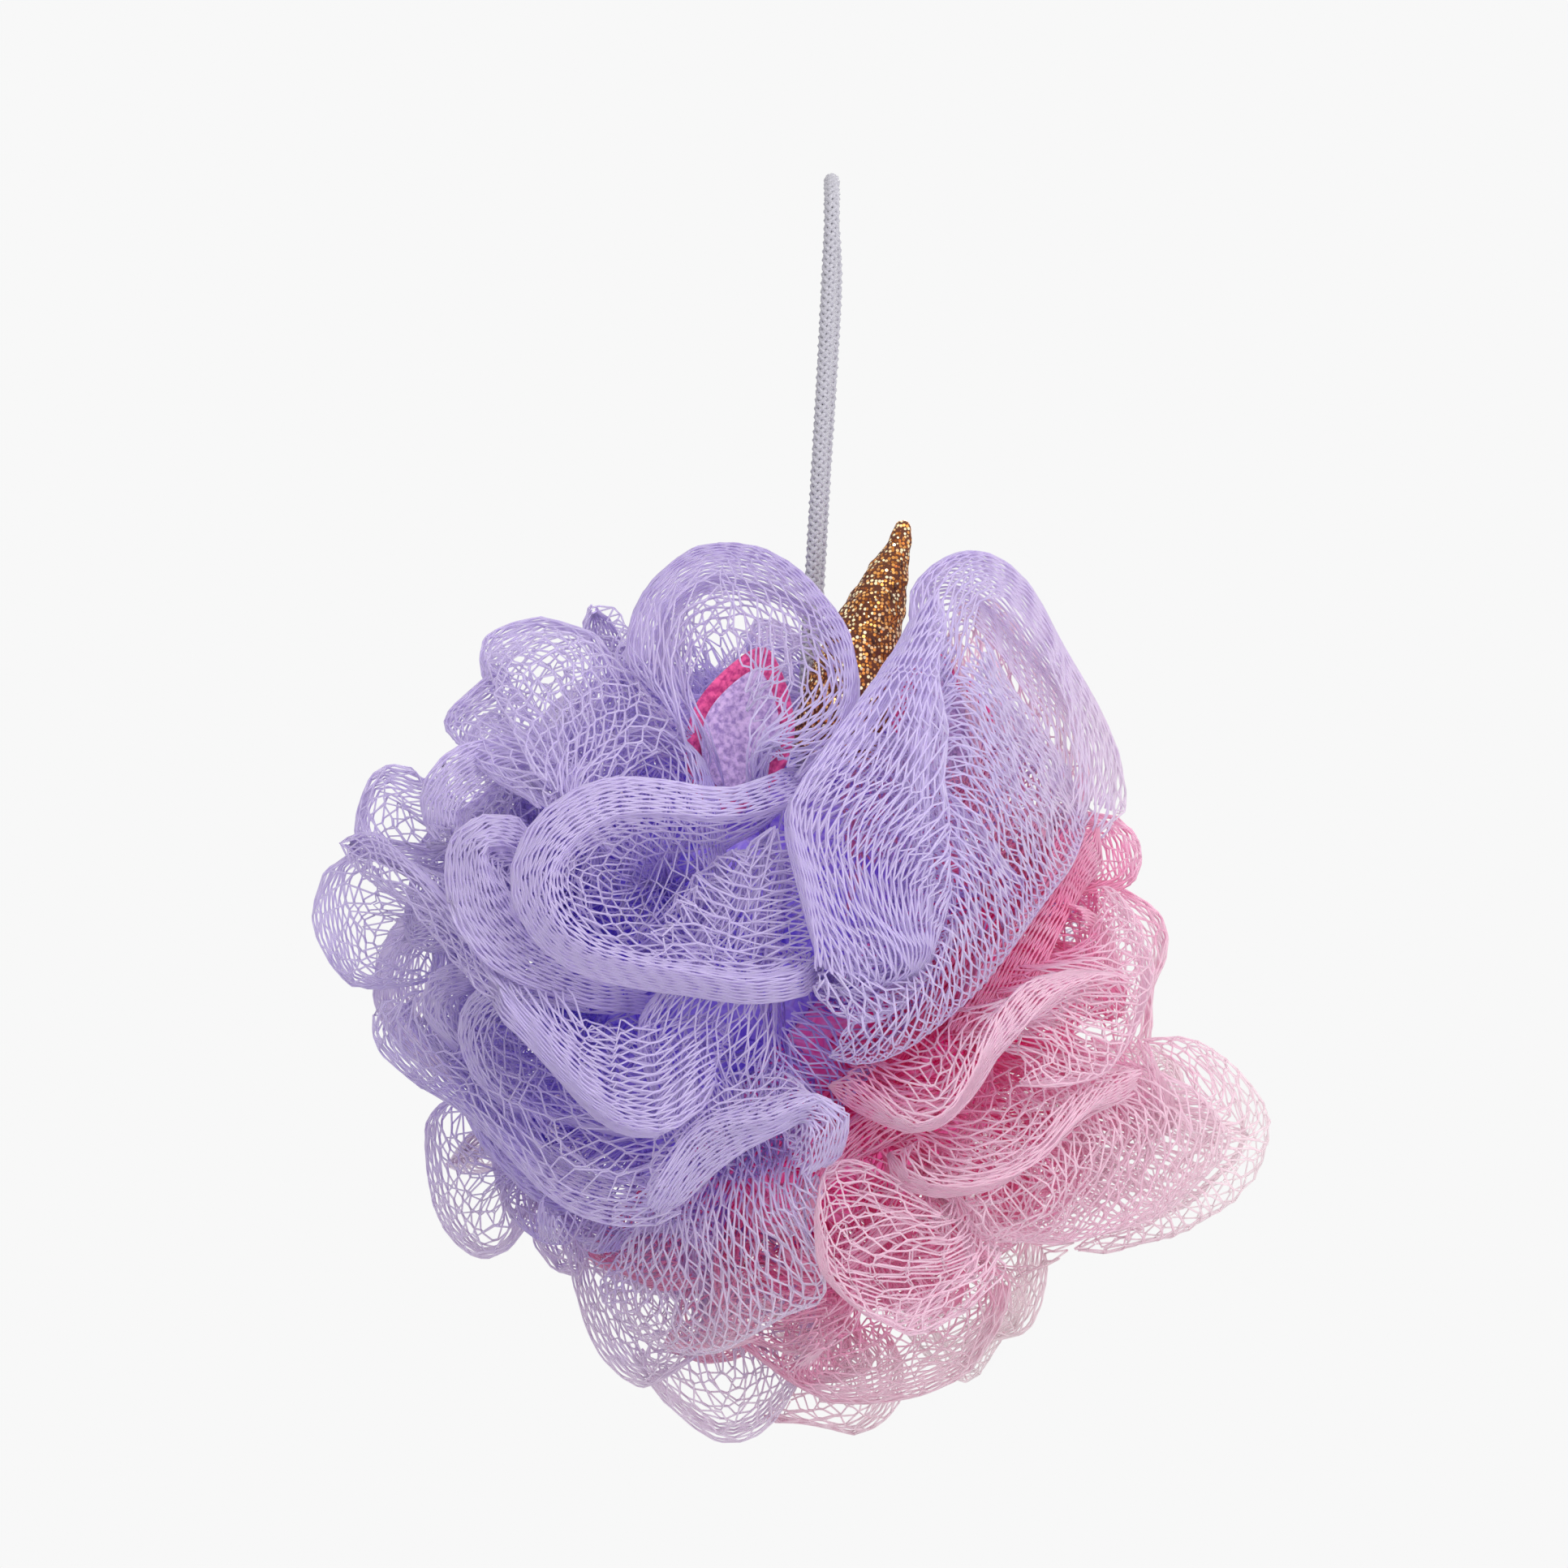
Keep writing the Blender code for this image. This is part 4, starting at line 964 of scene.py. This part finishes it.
class SPONGE_OT_stage(bpy.types.Operator):
    """Add the camera at the photograph's angle, the soft lamps, the pale world and the floor"""

    bl_idname = "sponge.stage"
    bl_label = "Stage"

    def execute(self, context):
        settings = context.scene.sponge_stage
        scene = context.scene
        scene.view_settings.view_transform = "Standard"
        scene.cycles.max_bounces = BOUNCES
        scene.cycles.diffuse_bounces = STRAND_BOUNCES
        scene.cycles.transmission_bounces = STRAND_BOUNCES
        self.add_camera(scene)
        for name, place in LAMPS.items():
            self.add_lamp(name, place, getattr(settings, name))
        self.add_world(scene, settings)
        self.add_floor(settings)
        return {"FINISHED"}

    def add_camera(self, scene):
        """The photograph is square to the sponge, from its middle row and column."""
        data = bpy.data.cameras.new("camera")
        camera = added("camera", data)
        middle = PHOTO_SIDE_PX / 2
        camera.location = at_photo(middle, middle, CAMERA_DISTANCE / MM)
        camera.rotation_euler = (math.radians(90), 0, 0)
        data.sensor_width = SENSOR_WIDTH
        data.lens = SENSOR_WIDTH * CAMERA_DISTANCE / (PHOTO_SIDE_PX * PHOTO_SCALE)
        scene.camera = camera

    def add_lamp(self, name, place, power):
        """A round lamp that faces the heart."""
        data = bpy.data.lights.new(name, "AREA")
        data.shape = "DISK"
        data.size = LAMP_SIZE
        data.energy = power
        lamp = added(name, data)
        lamp.location = HEART + Vector(place)
        lamp.rotation_euler = (HEART - lamp.location).to_track_quat("-Z", "Y").to_euler()

    def add_world(self, scene, settings):
        """A pale backdrop for what the camera sees, also in gloss, and even soft light on all the rest."""
        world = bpy.data.worlds.new("pale room")
        world.use_nodes = True
        scene.world = world
        tree = world.node_tree
        light = tree.nodes["Background"]
        light.inputs["Color"].default_value = (1, 1, 1, 1)
        light.inputs["Strength"].default_value = settings.soft_light
        rays = add_node(tree, "LightPath").node.outputs
        camera, gloss, through = [rays[f"Is {kind} Ray"] for kind in ("Camera", "Glossy", "Transmission")]
        seen = add_node(tree, "Math", {0: camera, 1: gloss}, operation="MAXIMUM")
        seen = add_node(tree, "Math", {0: seen, 1: through}, operation="MAXIMUM")
        backdrop = add_node(tree, "Background", {"Color": linear(settings.backdrop), "Strength": 1.0})
        mixed = add_node(tree, "MixShader", {0: seen, 1: light.outputs[0], 2: backdrop})
        tree.links.new(mixed, tree.nodes["World Output"].inputs["Surface"])

    def add_floor(self, settings):
        """A plain floor well below the hanging sponge, out of the photograph's view."""
        mesh = bmesh.new()
        bmesh.ops.create_grid(mesh, x_segments=1, y_segments=1, size=FLOOR_HALF_SIDE)
        bmesh.ops.translate(mesh, vec=(0, 0, FLOOR_HEIGHT), verts=mesh.verts)
        made, tree, place = new_material("painted_floor")
        grain = add_node(tree, "TexNoise", {"Vector": place, "Scale": 60.0})
        rough = add_node(tree, "MapRange", {0: grain, 3: 0.75, 4: 0.9})
        paint = add_node(tree, "BsdfPrincipled", {"Base Color": linear(settings.floor), "Roughness": rough})
        surface(tree, paint)
        added_mesh("floor", mesh, made)


class SPONGE_OT_cord(bpy.types.Operator):
    """Braid the hanging cord along its loop and finish its knot"""

    bl_idname = "sponge.cord"
    bl_label = "Hanging Cord"

    def execute(self, context):
        settings = context.scene.sponge_cord
        paint = self.material(settings)
        route = cord_route(ROUTE_POINTS)
        steps = unit(np.gradient(route, axis=0))
        along = distances(route)
        right = np.tile((1.0, 0.0, 0.0), (len(route), 1))
        right = unit(right - steps * (right * steps).sum(axis=1, keepdims=True))
        front = np.cross(steps, right)
        ring = CORD_DIAMETER / 2 - settings.yarn / 2 - BRAID_LIFT / 2
        wanted = np.linspace(0, along[-1], round(along[-1] / settings.turn * YARN_POINTS))
        place, u, v = [looked_up(field, along, wanted) for field in (route, right, front)]
        lines = []
        crossings = 2 * settings.pairs * wanted / settings.turn
        for way in (1, -1):
            for k in range(settings.pairs):
                turn = 2 * math.pi * (k / settings.pairs + way * wanted / settings.turn)
                reach = ring + way * BRAID_LIFT * np.cos(math.pi * crossings)
                out = u * np.cos(turn)[:, None] + v * np.sin(turn)[:, None]
                lines.append(place + out * reach[:, None])
        yarns = swept("braided_cord", lines, paint, radius=settings.yarn / 2)
        core = swept("cord_core", [cord_route(CORE_POINTS)], paint, radius=CORE_RADIUS)
        mesh = bmesh.new()
        mesh.from_mesh(yarns.data)
        mesh.from_mesh(core.data)
        mesh.to_mesh(yarns.data)
        mesh.free()
        bpy.data.objects.remove(core)
        yarns.data.shade_smooth()
        knot = bpy.data.objects["cord_knot"]
        knot.data.materials.clear()
        knot.data.materials.append(paint)
        stand_in(yarns, "hanging_cord")
        cord_route(PATH_POINTS)
        return {"FINISHED"}

    def material(self, settings):
        """Braided polyester yarn: soft white bundles of fine filaments with a slight sheen, and painted shade
        between the fibres.
        """
        made, tree, place = new_material("braided_polyester")
        fibre = add_node(tree, "TexNoise", {"Vector": place, "Scale": 1 / (0.15 * MM), "Detail": 3.0})
        share = add_node(tree, "MapRange", {0: fibre, 1: 0.3, 2: 0.7})
        # Painted shade: darker between the fibres, paler where light falls
        colour = add_node(tree, "ValToRGB", {0: share}, stops=(
            (0.0, settings.shade), (1.0, settings.colour)))
        bump = add_node(tree, "Bump", {"Strength": 0.4, "Distance": 0.05 * MM, "Height": fibre})
        yarn = add_node(tree, "BsdfPrincipled", {
            "Base Color": colour, "Roughness": 0.55, "Sheen Weight": 0.3, "Normal": bump})
        surface(tree, yarn)
        return made


class SPONGE_OT_nets(bpy.types.Operator):
    """Gather the lilac and the pink net into their folds, layer by layer"""

    bl_idname = "sponge.nets"
    bl_label = "Nets"

    def execute(self, context):
        settings = context.scene.sponge_net
        self.nets = {}
        for colour, tint_range in (("lilac", LILAC_TINT), ("pink", PINK_TINT)):
            colours = [getattr(settings, f"{colour}_{part}") for part in ("pale", "middle", "deep", "tint")]
            name = colour + "_polyethylene_net"
            self.nets[colour] = net_material(name, (*colours, tint_range), settings.roughness)
        top, left, pinks = [list(folds.values()) for folds in (LILAC_TOP_FOLDS, LILAC_LEFT_FOLDS, PINK_FOLDS)]
        self.gather(context, "lilac", "front", top, left, seed=1)
        self.gather(context, "pink", "front", pinks, seed=2)
        for k, layer in enumerate(("under", "back", "under_back")):
            self.gather(context, "lilac", layer, top + left, seed=10 + k)
            self.gather(context, "pink", layer, pinks, seed=20 + k)
        self.gather(context, "lilac", "side", self.belt(LILAC_BELT), seed=31)
        self.gather(context, "pink", "side", self.belt(PINK_BELT), seed=32)
        return {"FINISHED"}

    def belt(self, folds):
        """The folds between front and back, as a table has them."""
        return [(BELT_STRETCH, BELT_HALF_WALL, BELT_HEM, *belt_fold(*fold)) for fold in folds]

    def gather(self, context, colour, layer, *tables, seed):
        """One colour's folds in one layer, a piece for each table of folds."""
        settings = context.scene.sponge_net
        for k, table in enumerate(tables):
            draw = np.random.default_rng(seed + 100 * k)
            name = f"{colour}_folds_{layer}" + ("_" + "ab"[k] if len(tables) > 1 else "")
            strands = []
            for stretch, fold in layer_folds(table, layer, draw):
                strands += fold_strands(fold, stretch, layer, settings, draw)
            strand_piece(context, name, colour + "_net", strands, self.nets[colour])


class SPONGE_OT_hearts(bpy.types.Operator):
    """Fill the middle with the tightly gathered net, lilac on one side and pink on the other"""

    bl_idname = "sponge.hearts"
    bl_label = "Gathered Heart"

    def execute(self, context):
        roughness = context.scene.sponge_net.roughness
        for (colour, (shut, open_)), side in zip(HEART_PAINTED_SHADE_COLOURS.items(), (1, -1)):
            paint = heart_material(colour + "_gathered_net", shut, open_, roughness)
            heart_half(colour + "_heart", colour + "_net", side, paint)
        return {"FINISHED"}


class SPONGE_OT_horn(bpy.types.Operator):
    """Sew the stuffed horn of glitter cloth"""

    bl_idname = "sponge.horn"
    bl_label = "Horn"

    def execute(self, context):
        settings = context.scene.sponge_horn
        line, radii = horn_line(HORN_POINTS, settings.base_radius)
        last = unit(line[-1] - line[-2])
        cap = np.linspace(0.15, 1, HORN_CAP_POINTS)
        line = np.vstack([line, line[-1] + last * radii[-1] * cap[:, None]])
        radii = np.concatenate([radii, radii[-1] * np.sqrt(1 - (0.97 * cap) ** 2)])
        paint = self.material(settings)
        horn = swept("stuffed_horn", [line], paint, radius=1.0, resolution=HORN_RESOLUTION, radii=radii)
        self.crease(horn, line, settings)
        mesh = bmesh.new()
        mesh.from_mesh(horn.data)
        bmesh.ops.remove_doubles(mesh, verts=mesh.verts, dist=0.005 * MM)
        mesh.to_mesh(horn.data)
        mesh.free()
        horn.data.shade_smooth()
        stand_in(horn, "horn")
        self.stitches(line, radii)
        return {"FINISHED"}

    def crease(self, horn, line, settings):
        """Soft wrinkles across the horn: three waves of unlike lengths that slant round it."""
        data = horn.data
        places = np.empty(len(data.vertices) * 3)
        data.vertices.foreach_get("co", places)
        places = places.reshape(-1, 3)
        nearest = np.linalg.norm(places[:, None] - line, axis=2).argmin(axis=1)
        out = places - line[nearest]
        reach = np.linalg.norm(out, axis=1, keepdims=True)
        around = np.arctan2(-out[:, 1], out[:, 0])
        along = nearest / len(line)
        wrinkle = 0.5 * np.sin(46 * along + 2.2 * np.sin(around) + 1.0)
        wrinkle += 0.5 * np.sin(27 * along - 3 * around)
        wrinkle += 0.35 * np.sin(90 * along + 4 * around)
        fade = np.clip(reach[:, 0] / (3 * MM), 0.1, 1)
        move = -settings.wrinkle * (0.5 + 0.5 * wrinkle) * fade
        places += out / np.maximum(reach, 1e-9) * move[:, None]
        data.vertices.foreach_set("co", places.ravel())

    def stitches(self, line, radii):
        """Dark hand stitches up the front, where the horn is closed."""
        made, tree, place = new_material("dark_sewing_thread")
        twist = add_node(tree, "TexNoise", {"Vector": place, "Scale": 1 / (0.2 * MM)})
        colour = add_node(tree, "ValToRGB", {0: twist}, stops=((0.3, "#2a130c"), (0.7, "#5a2c1c")))
        thread = add_node(tree, "BsdfPrincipled", {"Base Color": colour, "Roughness": 0.6})
        surface(tree, thread)
        lines = []
        for k in range(STITCHES):
            share = STITCH_START + STITCH_SHARE * k / (STITCHES - 1)
            middle = share * (len(line) - HORN_CAP_POINTS - 1)
            turn = math.radians(STITCH_ANGLE - STITCH_TURN * k / (STITCHES - 1))
            stitch = []
            for t in np.linspace(-1, 1, 5):
                index = int(middle + 1.6 * t)
                lift = radii[index] + 0.02 * MM - 0.35 * MM * t ** 2
                side = turn + 0.06 * t
                stitch.append(line[index] + lift * np.array((math.cos(side), -math.sin(side), 0.0)))
            lines.append(np.array(stitch))
        stand_in(swept("horn_stitches", lines, made, radius=STITCH_RADIUS), "horn")

    def material(self, settings):
        """Glitter cloth: round foil dots printed on dark brown cloth, each tilted its own way and each tinted
        at random from dark bronze to pale cream, partly painted glint and shade, so that some flash pale and
        the rest stay bronze."""
        made, tree, place = new_material("gold_glitter_cloth")
        dots = add_node(tree, "TexVoronoi", {
            "Vector": place, "Scale": 1 / settings.dot, "Randomness": 0.7}).node.outputs
        foil = add_node(tree, "MapRange", {0: dots["Distance"], 1: 0.42, 2: 0.5, 3: 1.0, 4: 0.0})
        random = add_node(tree, "SeparateColor", {0: dots["Color"]}).node.outputs
        # Painted glint and shade: a dot's colour runs at random from dark bronze to pale cream, besides its
        # real tilt
        tint = add_node(tree, "ValToRGB", {0: random["Red"]}, stops=(
            (0.0, "#8e4a1c"), (0.3, "#c87c34"), (0.65, settings.foil), (0.88, "#fff3c4")))
        cloth = linear(settings.cloth)
        colour = add_node(tree, "Mix", {0: foil, 6: cloth, 7: tint}, data_type="RGBA", output=2)
        metal = add_node(tree, "Math", {0: foil, 1: 0.75}, operation="MULTIPLY")
        rough = add_node(tree, "MapRange", {0: foil, 3: 0.8, 4: 0.32})
        normal = add_node(tree, "NewGeometry", output="Normal")
        lean = add_node(tree, "VectorMath", {0: dots["Color"], 1: (0.5, 0.5, 0.5)}, operation="SUBTRACT")
        lean = add_node(tree, "VectorMath", {0: lean, "Scale": 0.7}, operation="SCALE")
        facing = add_node(tree, "VectorMath", {0: normal, 1: lean}, operation="ADD")
        facing = add_node(tree, "VectorMath", {0: facing}, operation="NORMALIZE")
        glitter = add_node(tree, "BsdfPrincipled", {
            "Base Color": colour, "Metallic": metal, "Roughness": rough, "Normal": facing})
        surface(tree, glitter)
        return made


class SPONGE_OT_ears(bpy.types.Operator):
    """Sew the two plush ears and their paler linings"""

    bl_idname = "sponge.ears"
    bl_label = "Ears"

    def execute(self, context):
        settings = context.scene.sponge_ears
        plush = self.material("pink_fleece", settings.plush, PLUSH_PAINTED_SHADE)
        lining = self.material("pale_fleece", settings.lining, LINING_PAINTED_SHADE)
        thick = settings.half_thickness
        for k, ear in enumerate(EARS):
            stand = ear_stand(ear)
            piece = self.leaf(ear + "_plush", stand, 1.0, thick, 0.0, plush, settings, k)
            stand_in(piece, ear + "_plush")
            piece = self.leaf(
                ear + "_lining", stand, LINING_SHARE, LINING_HALF_THICKNESS, thick + LINING_FORWARD, lining,
                settings, k + 2)
            stand_in(piece, ear + "_lining")
        return {"FINISHED"}

    def leaf(self, name, stand, share, half_thickness, forward, paint, settings, seed):
        """A leaf pointed at the top, cupped forward, its surface tufted."""
        mesh = bmesh.new()
        bmesh.ops.create_uvsphere(mesh, u_segments=EAR_SEGMENTS, v_segments=EAR_RINGS, radius=1.0)
        tufts = np.random.default_rng(seed).uniform(0, 1, len(mesh.verts))
        for vert, tuft in zip(mesh.verts, tufts):
            x, y, z = vert.co
            narrow = 1 - 0.45 * max(z, 0.0) ** 1.5
            cup = settings.cup * (x * share) ** 2
            pile = 1 + settings.pile * tuft / half_thickness
            vert.co = stand @ Vector((
                x * narrow * settings.half_width * share,
                y * half_thickness * pile - cup - forward,
                z * settings.half_height * share,
            ))
        bmesh.ops.recalc_face_normals(mesh, faces=mesh.faces)
        return added_mesh("soft_" + name, mesh, paint)

    def material(self, name, colour, shade):
        """Short-pile fleece: small tufts with painted shade between them, and a soft bloom at the edges."""
        made, tree, place = new_material(name)
        tuft = add_node(tree, "TexNoise", {"Vector": place, "Scale": 1 / (0.7 * MM), "Detail": 4.0})
        share = add_node(tree, "MapRange", {0: tuft, 1: 0.35, 2: 0.6})
        # Painted shade: darker between the tufts
        mixed = add_node(tree, "ValToRGB", {0: share}, stops=((0.0, shade), (1.0, colour)))
        bump = add_node(tree, "Bump", {"Strength": 0.8, "Distance": 0.3 * MM, "Height": tuft})
        pile = add_node(tree, "BsdfPrincipled", {
            "Base Color": mixed, "Roughness": 0.9, "Sheen Weight": 0.6, "Sheen Roughness": 0.4,
            "Normal": bump})
        surface(tree, pile)
        return made


class SPONGE_PT_panel(bpy.types.Panel):
    """The sponge's pieces, in the order they are made"""

    bl_idname = "SPONGE_PT_panel"
    bl_label = "Bath Sponge"
    bl_space_type = "VIEW_3D"
    bl_region_type = "UI"
    bl_category = "Sponge"

    def draw(self, context):
        for step in STEPS:
            self.layout.operator(step.bl_idname)
        for name in GROUPS:
            box = self.layout.box()
            group = getattr(context.scene, name)
            for prop in group.bl_rna.properties:
                if prop.identifier not in ("rna_type", "name"):
                    box.prop(group, prop.identifier)


STEPS = (SPONGE_OT_stage, SPONGE_OT_cord, SPONGE_OT_hearts, SPONGE_OT_nets, SPONGE_OT_horn, SPONGE_OT_ears)
GROUPS = {
    "sponge_net": SpongeNet,
    "sponge_cord": SpongeCord,
    "sponge_horn": SpongeHorn,
    "sponge_ears": SpongeEars,
    "sponge_stage": SpongeStage,
}


def register():
    for cls in (*GROUPS.values(), *STEPS, SPONGE_PT_panel):
        bpy.utils.register_class(cls)
    for name, cls in GROUPS.items():
        setattr(bpy.types.Scene, name, bpy.props.PointerProperty(type=cls))


def unregister():
    for name in GROUPS:
        delattr(bpy.types.Scene, name)
    for cls in reversed((*GROUPS.values(), *STEPS, SPONGE_PT_panel)):
        bpy.utils.unregister_class(cls)


def main():
    register()
    bpy.ops.sponge.stage()
    bpy.ops.sponge.cord()
    bpy.ops.sponge.hearts()
    bpy.ops.sponge.nets()
    bpy.ops.sponge.horn()
    bpy.ops.sponge.ears()


if __name__ == "__main__":
    main()
